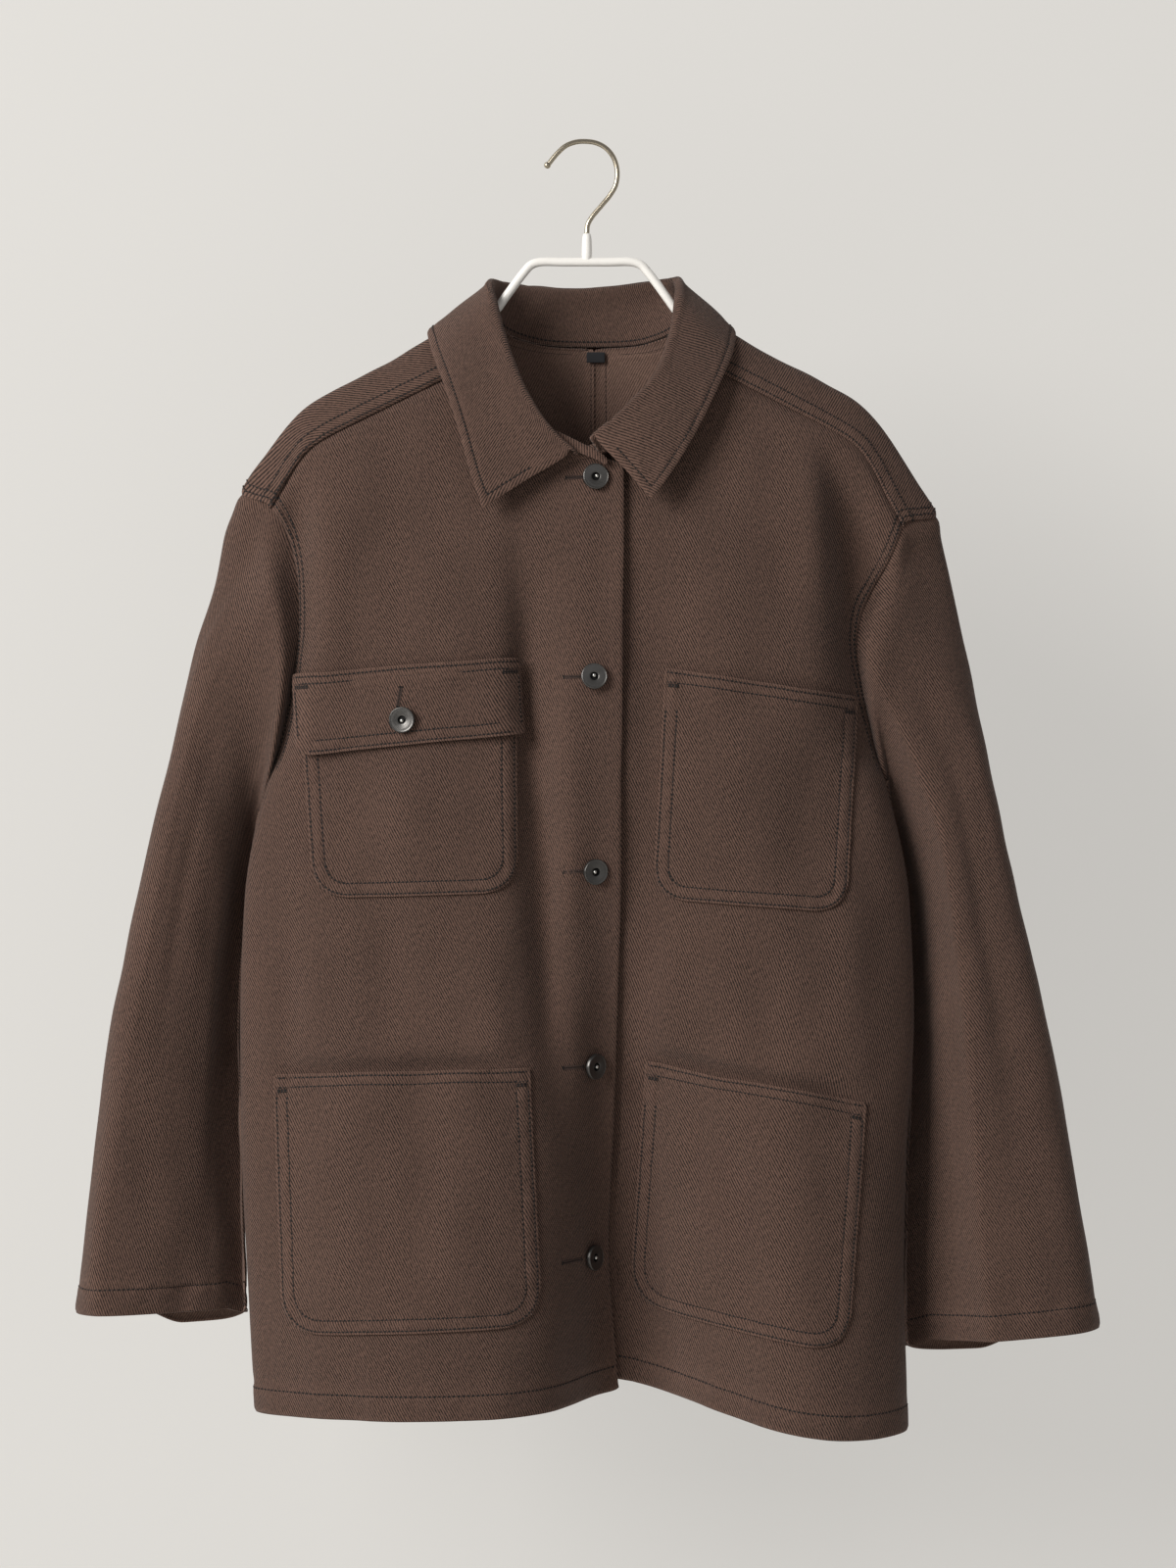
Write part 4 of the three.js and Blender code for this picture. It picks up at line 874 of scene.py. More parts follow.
def buildSleeve(name):
    coarseRows = np.linspace(0, len(sleeveRows[name]), 200)
    coarse, _ = sleevePoints(name, 24, coarseRows, [])
    reach = runAlong(coarse).mean(axis=1)
    places = steps(reach[-1], cloth["pitch"], [0, reach[-1] - 18, reach[-1]])
    kRows = np.interp(places, reach, coarseRows)
    folds = sleeveFolds[name] + sleeveCreases[name]
    points, angles = sleevePoints(name, 132, kRows, folds)
    normals = gridNormals(points, True)
    middle = points.mean(axis=1, keepdims=True)
    if (normals * (points - middle)).sum() < 0:
        normals = -normals
    v = reach[-1] - runAlong(points).mean(axis=1)
    fromCuff = v[:, None] * np.ones((1, len(angles)))
    fromTop = (reach[-1] - v)[:, None] * np.ones((1, len(angles)))
    uv = sleeveGrain(name, points, angles, v)
    flatU, flatV = uv[:, :-1, 0], fromCuff
    lift = reliefOf(flatU, flatV, 41 if name == "left" else 43) * smooth(fromTop / 30)
    lift += turning(fromCuff, 17.6, 0.35) + stitchDip(fromCuff, cuffRow) + edgeRoll(fromCuff)
    lift += puckers(flatU, flatV, fromCuff, 0.34, 16, 47, 14, 10)
    lift -= 2.2 * bell(fromTop, 3.5)
    inFront = hollowBy((angles - arm["pit"]) * frontCount / (arm["seam"] - arm["pit"]))[None, :]
    here = hollow[name]
    back = here["depth"] * inFront * bell(fromTop, here["sleeve"])
    back -= here["swell"] * inFront * bell(fromTop - 27, np.where(fromTop < 27, 12, 42))
    lift += puckers(flatU, flatV, fromTop, 0.5, 22, 53, 12, 12)
    wear = 0.5 * bell(fromCuff, 2.2) + 0.35 * bell(fromCuff - 18, 6)
    wear += 0.25 * bell(fromTop, 6)
    moved = points + normals * lift[..., None]
    moved[..., 1] += back
    wearAll = np.concatenate([wear, wear[:, :1]], axis=1)
    clothPiece("sleeve_" + name, moved, normals, uv, wearAll, cloth["wall"], clothMats, True)
    return {"points": moved, "normals": normals, "fromCuff": fromCuff}


sleeves = {name: buildSleeve(name) for name in ("right", "left")}
print("sleeves made")


# Collar: neck seam, top of the roll and outer edge at each section, from the right end round to the left
collarSections = np.array([
    (-5, -35.5, -211, -8, -40, -210.5, -68, -46, -248), (-17, -33, -203, -22, -41, -197.5, -75, -45, -229),
    (-35, -29, -184, -41, -37, -170, -84, -41, -197), (-50.5, -21.5, -157, -55, -27, -133, -94, -33.5, -166),
    (-59, -11.5, -131, -62, -14, -106, -103, -18, -141), (-65, 2, -105, -63, 4, -93, -106, 3, -125.5),
    (-58, 16, -122, -55, 22, -92, -92, 33, -134), (-34, 28, -131, -33, 33, -94, -52, 46, -140),
    (3, 31.5, -133, 2, 38, -94, 3, 50, -142), (40, 28, -131, 38, 33, -91.5, 57, 46, -140),
    (61, 16, -122, 56, 22, -90, 90, 33, -134), (65, 2, -105, 61, 4, -92, 100, 3, -125.5),
    (60.5, -11.5, -131, 61, -14, -106, 98, -16, -142), (54.5, -21.5, -155, 56, -27, -133, 88, -30, -166),
    (43, -29, -180, 46, -38, -159.5, 74, -38, -195), (25, -33, -200, 25.5, -43, -183, 58, -43, -222),
    (8, -36, -210, 3.2, -44, -201.5, 43.5, -45.5, -242.5)], float)
collarRoll = 3.2
# Its row of stitches, in mm from the free edges
collarRow = 5.5


# Centripetal curve through the points, at shares 0 to 1 of their number
def throughPoints(points, at):
    points, at = np.asarray(points, float), np.asarray(at, float)
    n = len(points)
    padded = np.vstack([2 * points[0] - points[1], points, 2 * points[-1] - points[-2]])
    i = np.clip((at * (n - 1)).astype(int), 0, n - 2)
    t = (at * (n - 1) - i)[:, None]
    p0, p1, p2, p3 = (padded[i + k] for k in range(4))
    d0 = np.maximum(np.linalg.norm(p1 - p0, axis=1), 1e-4)[:, None] ** 0.5
    d1 = np.maximum(np.linalg.norm(p2 - p1, axis=1), 1e-4)[:, None] ** 0.5
    d2 = np.maximum(np.linalg.norm(p3 - p2, axis=1), 1e-4)[:, None] ** 0.5
    m1 = ((p1 - p0) / d0 - (p2 - p0) / (d0 + d1) + (p2 - p1) / d1) * d1
    m2 = ((p2 - p1) / d1 - (p3 - p1) / (d1 + d2) + (p3 - p2) / d2) * d1
    return hermite(t, p1, m1, p2, m2)


# Lines over the collar from the neck seam up over the roll and down to the outer edge
def collarPoints(alongCount):
    lines = []
    for s in collarSections:
        neck, roll, edge = s[:3], s[3:6], s[6:]
        out = edge - roll
        out[2] = 0
        out /= np.linalg.norm(out)
        standIn = roll - 0.2 * collarRoll * out
        fallTop = roll + 1.6 * collarRoll * out + [0, 0, -2.5]
        crest = roll + 0.75 * collarRoll * out + [0, 0, 1.6]
        fallMiddle = (fallTop + edge) / 2 + 0.8 * out
        lines.append([neck, (neck + standIn) / 2, standIn, crest, fallTop, fallMiddle, edge])
    lines = np.array(lines)
    share = np.linspace(0, 1, alongCount)
    rails = np.stack([throughPoints(lines[:, k], share) for k in range(7)], axis=1)
    return np.array([throughPoints(r, np.linspace(0, 1, 120)) for r in rails])


raw = collarPoints(700)
edgeReach = runAlong((raw[:, -1] + raw[:, 60]) / 2)
collarPlaces = steps(edgeReach[-1], 2.6, [0, collarRow, edgeReach[-1] - collarRow, edgeReach[-1]], 0.6)
picked = np.array([[np.interp(collarPlaces, edgeReach, line[:, k]) for k in range(3)]
                   for line in raw.transpose(1, 0, 2)]).transpose(2, 0, 1)
lineLength = np.linalg.norm(np.diff(picked, axis=1), axis=2).sum(axis=1).mean()
acrossShare = steps(lineLength, 2.4, [0, lineLength - collarRow, lineLength], 0.6) / lineLength
collarGrid = evenRows(picked, acrossShare)
collarNormals = gridNormals(collarGrid)
fall, fallNormals = collarGrid[:, -6], collarNormals[:, -6]
outward = fall - collarGrid[:, len(acrossShare) // 2]
if (fallNormals * outward).sum() + (fallNormals[:, 1] * np.sign(fall[:, 1])).sum() < 0:
    collarNormals = -collarNormals
lineReach, endReach = runAlong(collarGrid, 1), runAlong(collarGrid, 0)
toEdge = lineReach[:, -1:] - lineReach
fallPart = smooth((lineReach - 34) / 10)
nearEnd = np.minimum(endReach, endReach[-1:] - endReach)
rim = np.minimum(toEdge, nearEnd)
collarU = (edgeReach[-1] / 2 - collarPlaces)[:, None] * np.ones_like(lineReach)
dips = stitchDip(toEdge, collarRow, 0.4) * smooth((nearEnd - 4) / 2)
dips += stitchDip(nearEnd, collarRow, 0.4) * smooth((toEdge - 4) / 2)
collarLift = edgeRoll(rim, 0.8, 1.2) + dips * fallPart
collarLift += 0.5 * reliefOf(collarU, lineReach, 61) * smooth(rim / 18)
collarLift += puckers(collarU, lineReach, rim, 0.22, 15, 67, 6, 6)
collarWear = 0.7 * bell(rim, 1.8) + 0.3 * bell(rim - 6, 5)
rollLine = np.abs(lineReach - lineReach[:, [int(len(acrossShare) * 0.44)]])
collarWear += 0.25 * bell(rollLine, 7)
collarPoints3 = collarGrid + collarNormals * collarLift[..., None]
collarUV = np.stack([collarU, -lineReach], axis=-1)
clothPiece("collar", collarPoints3, collarNormals, collarUV, collarWear, cloth["collarWall"], collarMats)

# The ends of its stand close over the top button, the right one in front
standEnds = {
    "right": {"foot": [(-24, -34, -202), (-14, -35, -206.5), (-5, -35.6, -210.6), (2, -35.8, -213.4),
                       (8, -35.6, -216), (13.5, -35, -219)],
              "up": (0.42, 0.1, 0.9), "high": [7, 6.6, 6.2, 5.8, 5.2, 3.2]},
    "left": {"foot": [(30, -28.5, -202.5), (21, -30, -206.5), (12, -31, -210.5), (4, -31.4, -213.5),
                      (-4, -31, -214.5), (-10, -30.6, -213)],
             "up": (-0.38, 0.12, 0.92), "high": [9, 8.6, 8.2, 7.8, 7.2, 6]},
}
# Points along and up each end, and the height of the cloth that shows
endGrid = (41, 13)
endFlat = 6


def buildStandEnd(name, foot, up, high):
    share, level = (np.linspace(0, 1, n) for n in endGrid)
    line = throughPoints(foot, share)
    high = np.interp(share, np.linspace(0, 1, len(high)), high)
    way = np.array(up) / np.linalg.norm(up)
    points = line[:, None] + way * (high[:, None] * level)[..., None]
    out = np.tile(np.array([0.0, -1.0, 0.1]), (*endGrid, 1))
    points += out * (0.7 * np.sin(math.pi * level)[None, :, None])
    across, up = np.tile(line[:, :1], (1, endGrid[1])), np.tile(level * endFlat, (endGrid[0], 1))
    flat = np.stack([across, up], axis=-1)
    wear = 0.5 * np.ones(endGrid)
    clothPiece(f"stand_end_{name}", points, out, flat, wear, cloth["endWall"], collarMats, node="collar")


for name, end in standEnds.items():
    buildStandEnd(name, **end)
print("collar made")


# Patch pockets and the flap, laid on the fronts
# Distance between the points of a height map, in mm
mapCell = 2.0


# Value of a grid between its points, a of the way past i and b past j
def blended(grid, i, j, a, b):
    near = grid[i, j] * (1 - a) + grid[i + 1, j] * a
    return near * (1 - b) + (grid[i, j + 1] * (1 - a) + grid[i + 1, j + 1] * a) * b


# How far back a front's outside lies, over x and z, as a smoothed table
def heightMap(name):
    cell = mapCell
    pts = panels[name]["points"]
    low, high = pts.min(axis=(0, 1)), pts.max(axis=(0, 1))
    xs, zs = (np.arange(low[k] - 2 * cell, high[k] + 2 * cell, cell) for k in (0, 2))
    faces = gridFaces(pts.shape[0], pts.shape[1])
    tree = BVHTree.FromPolygons(pts.reshape(-1, 3).tolist(), faces)
    ys = np.full((len(xs), len(zs)), np.nan)
    for i, x in enumerate(xs):
        for j, z in enumerate(zs):
            hit = tree.ray_cast((x, -400, z), (0, 1, 0))[0]
            if hit is not None:
                ys[i, j] = hit.y
    for _ in range(12):
        gaps = np.isnan(ys)
        shifted = [np.roll(ys, s, axis) for s in (1, -1) for axis in (0, 1)]
        with np.errstate(all="ignore"):
            filled = np.nanmean(shifted, axis=0)
        ys[gaps] = filled[gaps]
    ys = np.where(np.isnan(ys), np.nanmax(ys), ys)
    for _ in range(2):
        ys = (ys + np.roll(ys, 1, 0) + np.roll(ys, -1, 0) + np.roll(ys, 1, 1) + np.roll(ys, -1, 1)) / 5
    return xs, zs, ys


def onMap(table, x, z):
    xs, zs, ys = table
    fx = np.clip((x - xs[0]) / mapCell, 0, len(xs) - 1.001)
    fz = np.clip((z - zs[0]) / mapCell, 0, len(zs) - 1.001)
    i, j = fx.astype(int), fz.astype(int)
    a, b = fx - i, fz - j
    return blended(ys, i, j, a, b)


def mapNormals(table, x, z):
    gx = (onMap(table, x + mapCell, z) - onMap(table, x - mapCell, z)) / (2 * mapCell)
    gz = (onMap(table, x, z + mapCell) - onMap(table, x, z - mapCell)) / (2 * mapCell)
    n = np.stack([gx, -np.ones_like(gx), gz], axis=-1)
    return n / np.linalg.norm(n, axis=-1, keepdims=True)


# The closed line of a patch moved inwards, with the same number of points along each side every time
def insetOutline(corners, radii, by, counts):
    n = len(corners)
    pts = [np.array(c, float) for c in corners]
    moved = []
    for k in range(n):
        a, b = pts[k] - pts[k - 1], pts[(k + 1) % n] - pts[k]
        a, b = a / np.linalg.norm(a), b / np.linalg.norm(b)
        turn = a[0] * b[1] - a[1] * b[0]
        inA, inB = np.array([-a[1], a[0]]) * np.sign(turn), np.array([-b[1], b[0]]) * np.sign(turn)
        moved.append(pts[k] + (inA + inB) * by / (1 + inA @ inB))
    arcs = []
    for k in range(n):
        r = max(radii[k] - by, 0.5)
        before, after = moved[k - 1] - moved[k], moved[(k + 1) % n] - moved[k]
        a, b = moved[k] + before / np.linalg.norm(before) * r, moved[k] + after / np.linalg.norm(after) * r
        t = np.linspace(0, 1, 25)[:, None]
        arcs.append((1 - t) ** 2 * a + 2 * t * (1 - t) * moved[k] + t * t * b)
    line = []
    for k in range(n):
        side = np.vstack([arcs[k][12:], arcs[(k + 1) % n][:13]])
        reach = runAlong(side)
        at = np.linspace(0, reach[-1], counts[k] + 1)[:-1]
        line.append(np.stack([np.interp(at, reach, side[:, m]) for m in (0, 1)], axis=-1))
    return np.vstack(line)


# A grid of points inside a closed line of four sides
def filledMiddle(line, counts):
    n, m = counts[0], counts[1]
    top, inner = line[:n + 1], line[n:n + m + 1]
    bottom = line[n + m:2 * n + m + 1][::-1]
    outer = np.vstack([line[2 * n + m:], line[:1]])[::-1]
    s, t = np.linspace(0, 1, n + 1)[None, :, None], np.linspace(0, 1, m + 1)[:, None, None]
    across = (1 - t) * top[None] + t * bottom[None]
    down = (1 - s) * outer[:, None] + s * inner[:, None]
    corner = (1 - t) * ((1 - s) * top[0] + s * top[-1]) + t * ((1 - s) * bottom[0] + s * bottom[-1])
    return across + down - corner


# Distance from each point to each side of the outline
def toSegments(points, corners):
    out = []
    n = len(corners)
    for k in range(n):
        a, b = np.array(corners[k], float), np.array(corners[(k + 1) % n], float)
        d = (b - a) / np.linalg.norm(b - a)
        out.append(np.abs((points[..., 0] - a[0]) * d[1] - (points[..., 1] - a[1]) * d[0]))
    return out


# corners from the top outer one round by the top inner, bottom inner and bottom outer ones
patches = {
    "chest_pocket_right": {
        "on": "front_right", "corners": [(-191, -362), (-48, -351), (-46, -503), (-181, -507)], "round": 26},
    "chest_pocket_left": {
        "on": "front_left", "corners": [(181, -373), (53, -354), (45, -507), (173, -517)], "round": 24},
    "hip_pocket_right": {
        "on": "front_right", "corners": [(-208, -625), (-38, -619), (-30, -789), (-201, -797)], "round": 29},
    "hip_pocket_left": {
        "on": "front_left", "corners": [(186, -643), (41, -616), (30, -782), (173, -808)], "round": 29},
    "pocket_flap_right": {
        "on": "front_right", "corners": [(-194, -358), (-47, -347), (-45, -398), (-189, -412)], "round": 6},
}
# How far a pocket's mouth stands open, and the radii of the corners that are nearly square
gapes = {"hip_pocket_right": 5.2, "hip_pocket_left": 6.0}
chestGape = 2.0
tightCorner = 2.2
flapCorners = [tightCorner, tightCorner, 3.5, 9]
maps = {name: heightMap(name) for name in ("front_right", "front_left")}
print("fronts mapped")


# Points of a patch's middle layer, with its normals, over x and z
def patchPoint(spec, x, z):
    table = maps[spec["on"]]
    y = onMap(table, x, z)
    n = mapNormals(table, x, z)
    points = np.stack([x, y, z], axis=-1)
    flat = np.stack([x, z], axis=-1)
    top, inner, bottom, outer = toSegments(flat, spec["corners"])
    lift = spec["lie"] + spec["puff"](flat, top, inner, bottom, outer)
    return points + n * lift[..., None], n


# Rows of stitches on the flap and the pockets, in mm from their top and from their other sides
flapRows = {"top": (2.4, 7.0), "round": (2.2, 9.0), "ends": 2.0}
pocketRows = {"top": (2.6, 8.9), "round": (1.9, 9.2)}


# How far a pocket stands off its front, as a function of a place on it and its distances to the sides
def pocketPuff(seed, soft, gape):
    def puff(flat, top, inner, bottom, outer):
        rim = np.minimum(np.minimum(inner, outer), bottom)
        middle = smooth((rim - 9) / 30)
        u, v = flat[..., 0], flat[..., 1]
        lift = 0.9 * middle + 0.9 * soft * softNoise(u, v, 62, seed, 1.3) * middle
        lift += puckers(u, v, rim, 0.3, 15, seed + 2, 7, 9)
        near, far = pocketRows["round"]
        lift += turning(rim, 9.6, 0.5, 1.5) + stitchDip(rim, near, 0.5) + stitchDip(rim, far, 0.6)
        near, far = pocketRows["top"]
        lift += turning(top, 12, 0.45, 1.4) + stitchDip(top, near, 0.45) + stitchDip(top, far, 0.5)
        lift += gape * (1 - smooth(top / 42)) * smooth((np.minimum(inner, outer) - 3) / 45)
        return lift
    return puff


# How far the flap stands off, in the same way
def flapPuff(flat, top, inner, bottom, outer):
    rim = np.minimum(np.minimum(inner, outer), bottom)
    u, v = flat[..., 0], flat[..., 1]
    lift = 0.8 * smooth((top - 10) / 25) * smooth(rim / 12) + 2.6 * np.exp(-bottom / 13.0)
    lift += 0.3 * softNoise(u, v, 40, 83) * smooth(top / 15)
    near, far = flapRows["top"]
    lift += stitchDip(top, near, 0.4) + stitchDip(top, far, 0.45)
    near, far = flapRows["round"]
    dips = stitchDip(bottom, near, 0.35) + stitchDip(bottom, far, 0.42)
    lift += dips * smooth((np.minimum(inner, outer) - 2) / 3)
    lift += puckers(u, v, bottom, 0.25, 14, 85, 6, 7)
    return lift


panelHalf = cloth["wall"] / 2
# More room under the flap, for the pocket that it covers
underFlap = cloth["pocketWall"] + cloth["lie"] + 0.5
for k, (name, spec) in enumerate(patches.items()):
    flap = "flap" in name
    wall = cloth["flapWall"] if flap else cloth["pocketWall"]
    spec["wall"] = wall
    spec["lie"] = panelHalf + cloth["lie"] + wall / 2 + (underFlap if flap else 0)
    soft = 1.3 if "hip" in name else 1.0
    spec["puff"] = flapPuff if flap else pocketPuff(71 + 4 * k, soft, gapes.get(name, chestGape))


# How much longer a patch is along its cloth than as seen from the front
patchEase = 1.04


def buildPatch(name):
    spec = patches[name]
    corners = spec["corners"]
    radii = flapCorners if "flap" in name else [tightCorner] * 2 + [spec["round"]] * 2
    across, down = (int(math.dist(corners[k], corners[k + 1]) / 2.3) for k in (0, 1))
    counts = [across, down, across, down]
    spec["radii"], spec["counts"] = radii, counts
    insets = [0, 0.5, 1.1, 1.9, 2.8, 4, 5.6, 7.2, 8.3, 9.1, 10.1, 12]
    rings = np.array([insetOutline(corners, radii, d, counts) for d in insets])
    middle = filledMiddle(rings[-1], counts)
    flat = np.vstack([rings.reshape(-1, 2), middle.reshape(-1, 2)])
    points, normals = patchPoint(spec, flat[:, 0], flat[:, 1])
    around = rings.shape[1]
    roll = np.zeros(len(flat))
    roll[:4 * around] = np.repeat(edgeRoll(np.array(insets[:4]), 0.45, 0.9), around)
    points = points + normals * roll[:, None]
    faces = gridFaces(len(insets), around, True)
    base = len(insets) * around
    faces += [[base + k for k in f] for f in gridFaces(middle.shape[0], middle.shape[1])]
    rim = np.min(toSegments(flat, corners), axis=0)
    wear = 0.9 * bell(rim, 1.3) + 0.3 * bell(rim - 5.5, 4.5)
    obj = makeMesh(name + "_cloth", points, faces, flat, wear)
    bm = bmesh.new()
    bm.from_mesh(obj.data)
    bmesh.ops.remove_doubles(bm, verts=bm.verts, dist=0.00002)
    bmesh.ops.recalc_face_normals(bm, faces=bm.faces)
    if sum((f.normal.y * f.calc_area() for f in bm.faces)) > 0:
        bmesh.ops.reverse_faces(bm, faces=bm.faces)
    bm.to_mesh(obj.data)
    area = sum(f.calc_area() for f in bm.faces)
    bm.free()
    obj.data.polygons.foreach_set("use_smooth", [True] * len(obj.data.polygons))
    addWall(obj, spec["wall"], clothMats)
    finishPiece(obj, name)
    width, length = np.ptp(flat[:, 0]) * mm * patchEase, np.ptp(flat[:, 1]) * mm * patchEase
    addSheet(obj, width, length, area)


for name in patches:
    buildPatch(name)
print("pockets made")


# Stitching: small threads, with a dark disc of painted shade for the needle hole at each end

# Evenly spaced places along a line of points, with the way ahead and the way out of the cloth
def alongLine(points, normals, pitch):
    reach = runAlong(points)
    count = max(2, int(round(reach[-1] / pitch)))
    at = (np.arange(count) + 0.5) * reach[-1] / count

    def pick(values, where):
        return np.stack([np.interp(where, reach, values[:, k]) for k in range(3)], axis=-1)

    centre, n = pick(points, at), pick(normals, at)
    ahead = pick(points, at + 0.4) - pick(points, at - 0.4)
    ahead /= np.linalg.norm(ahead, axis=1, keepdims=True)
    n -= ahead * (n * ahead).sum(axis=1, keepdims=True)
    n /= np.linalg.norm(n, axis=1, keepdims=True)
    return centre, ahead, n


threadSides = 5
# The two rings round a thread: place along it as a share of its length, and size
threadRings = ((-0.3, 0.85), (0.3, 0.85))


# Points and faces of many short threads, each a bead longer than wide with its ends down in the cloth
def threadMesh(centre, ahead, n, length, radius, lift, seed):
    side = np.cross(ahead, n)
    count = len(centre)
    rng = np.random.RandomState(seed)
    vary = 1 + 0.12 * (rng.rand(count, 1) - 0.5)
    turn = (rng.rand(count, 1) - 0.5) * 0.14
    way = ahead + side * turn
    angles = np.linspace(0, 2 * math.pi, threadSides, endpoint=False)
    verts = [centre - way * length / 2 * vary + n * (lift - radius * 1.2)]
    for t, r in threadRings:
        for a in angles:
            out = (side * math.cos(a) * r + n * math.sin(a) * r) * radius
            verts.append(centre + way * length * t * vary + out + n * lift)
    verts.append(centre + way * length / 2 * vary + n * (lift - radius * 1.2))
    verts = np.stack(verts, axis=1)
    k = threadSides
    one = []
    for a in range(k):
        b = (a + 1) % k
        one += [(0, 1 + b, 1 + a), (1 + a, 1 + b, 1 + k + b, 1 + k + a), (1 + k + a, 1 + k + b, 1 + 2 * k)]
    return verts.reshape(-1, 3), one, verts.shape[1], count


# A flat disc lying just above the cloth, given the dark colour as the painted shade of a needle hole or slit
def holeShadeMesh(centre, ahead, n, radius, lift):
    side = np.cross(ahead, n)
    angles = np.linspace(0, 2 * math.pi, 6, endpoint=False)
    verts = []
    for a in angles:
        verts.append(centre + (ahead * math.cos(a) * 1.3 + side * math.sin(a) * 0.85) * radius + n * lift)
    return np.stack(verts, axis=1).reshape(-1, 3), [(5, 4, 3, 2, 1, 0)], 6, len(centre)


# The stitched pieces that go with each sheet of cloth
hungOn = {entry["piece"].name: [] for entry in sheets}


# One mesh from many small parts. Each part is its points, faces and the material of those faces.
def sewnPiece(name, node, parts):
    verts, faces, slots, base = [], [], [], 0
    for points, one, size, count, material in parts:
        verts.append(points)
        one = [np.array(f) for f in one]
        for i in range(count):
            faces += [(f + base + i * size).tolist() for f in one]
            slots += [material] * len(one)
        base += len(points)
    obj = makeMesh(name, np.vstack(verts), faces)
    obj.data.materials.append(threadTone)
    obj.data.materials.append(holeShadeTone)
    obj.data.polygons.foreach_set("material_index", slots)
    finishPiece(obj, node)
    hungOn[node + "_cloth"].append(obj)


# Threads, with dark discs of painted shade at their needle holes, along a line that lies on the outside of
# the cloth
def stitchParts(points, normals, pitch=2.9, sink=-0.06, radius=0.34, seed=5, hole=0.85):
    centre, ahead, n = alongLine(points, normals, pitch)
    threads = threadMesh(centre, ahead, n, pitch * 0.8, radius, radius * 0.5 - sink, seed)
    holes = holeShadeMesh(centre + ahead * pitch / 2, ahead, n, hole, 0.2)
    return [(*threads, 0), (*holes, 1)]


# A line over a panel at a fixed distance from one of its edges, on its outside (side 1) or inside (-1)
def rowLine(p, edge, at, side=1):
    distance = p["from"][edge]
    points = p["points"] + p["normals"] * (side * cloth["wall"] / 2)
    normals = p["normals"]
    if edge in ("hem", "top"):
        distance, points, normals = distance.T, points.transpose(1, 0, 2), normals.transpose(1, 0, 2)
    line, out = [], []
    for d, pts, ns in zip(distance, points, normals):
        order = np.argsort(d)
        line.append([np.interp(at, d[order], pts[order, m]) for m in range(3)])
        out.append([np.interp(at, d[order], ns[order, m]) for m in range(3)])
    return np.array(line), side * np.array(out)


# Rows along the edges: edge, distance, first and last key row, seed and, on the inside, the size of the
# holes, whose discs are painted shade
firstRow, lastRow = -1, 99
centreRows = {
    "back_left": [("inner", seamRows["centre"][0], firstRow, 12.05, 11, None),
                  ("inner", seamRows["centre"][1], firstRow, 12.05, 44, None),
                  ("inner", seamRows["centre"][1], firstRow, 11.9, 4, 0.45)],
    "back_right": [("inner", 2.6, firstRow, 11.9, 6, 0.45)],
}


def panelRows(name, p):
    fromArm = p["pit"] + 0.4
    if p["face"] < 0:
        return [("outer", at, fromArm, lastRow, 7, None) for at in seamRows["side"]]
    rows = [("top", at, firstRow, lastRow, int(at * 3), None) for at in seamRows["shoulder"]]
    rows += [("outer", at, fromArm, lastRow, 9, None) for at in seamRows["side"]]
    return rows + [("inner", 7.5, 12.4, lastRow, 8, 0.3)] + centreRows[name]


for name, p in panels.items():
    parts = stitchParts(*rowLine(p, "hem", seamRows["hem"]), 3.2, seed=3)
    for edge, at, low, high, seed, hole in panelRows(name, p):
        line, out = rowLine(p, edge, at, -1 if hole else 1)
        if edge != "top":
            use = (p["index"] > low) & (p["index"] < high)
            line, out = line[use], out[use]
        inside = {"sink": 0.1, "radius": 0.26, "hole": hole} if hole else {}
        parts += stitchParts(line, out, seed=seed, **inside)
    sewnPiece(name + "_stitches", name, parts)

for name, sleeve in sleeves.items():
    cuff = {"points": sleeve["points"], "normals": sleeve["normals"], "from": {"hem": sleeve["fromCuff"]}}
    line, out = rowLine(cuff, "hem", cuffRow)
    line, out = np.vstack([line, line[:1]]), np.vstack([out, out[:1]])
    sewnPiece("sleeve_" + name + "_stitches", "sleeve_" + name, stitchParts(line, out, 3.2))


# Places on the collar from distances along it and across it, measured from its neck edge
def collarLine(alongs, acrosses):
    total = lineReach.mean(axis=0)
    fi = np.interp(alongs, collarPlaces, np.arange(len(collarPlaces)))
    fj = np.interp(acrosses, total, np.arange(len(total)))
    i, j = np.minimum(fi.astype(int), len(collarPlaces) - 2), np.minimum(fj.astype(int), len(total) - 2)
    a, b = (fi - i)[:, None], (fj - j)[:, None]
    outside = collarPoints3 + collarNormals * cloth["collarWall"] / 2
    return [blended(grid, i, j, a, b) for grid in (outside, collarNormals)]


# One row round the free edges of the fall and one along the neck seam
wholeAlong, wholeAcross = collarPlaces[-1], lineReach.mean(axis=0)[-1]
rollAcross = wholeAcross * 0.47
near, far, edge = collarRow, wholeAlong - collarRow, wholeAcross - collarRow
fallLine = np.vstack([
    np.stack([np.full(20, near), np.linspace(rollAcross, edge, 20)], axis=-1),
    np.stack([np.linspace(near, far, 300), np.full(300, edge)], axis=-1),
    np.stack([np.full(20, far), np.linspace(edge, rollAcross, 20)], axis=-1)])
parts = stitchParts(*collarLine(fallLine[:, 0], fallLine[:, 1]), seed=11)
neckAlong = np.linspace(4, wholeAlong - 4, 300)
parts += stitchParts(*collarLine(neckAlong, np.full(300, 2.6)), seed=13)
sewnPiece("collar_stitches", "collar", parts)


# A line on the outside of a patch, with its normals
def patchLine(spec, flat):
    points, normals = patchPoint(spec, flat[:, 0], flat[:, 1])
    return points + normals * (spec["wall"] / 2), normals


# Points of a straight line
def between(a, b, count):
    t = np.linspace(0, 1, count)[:, None]
    return np.array(a, float) * (1 - t) + np.array(b, float) * t


# Short rows under a pocket's top corners: how far below its rows, from and to along the top, pitch and radius
cornerBars = {"below": (1.6, 2.8), "from": 1.6, "to": 10, "pitch": 2.2, "radius": 0.3}


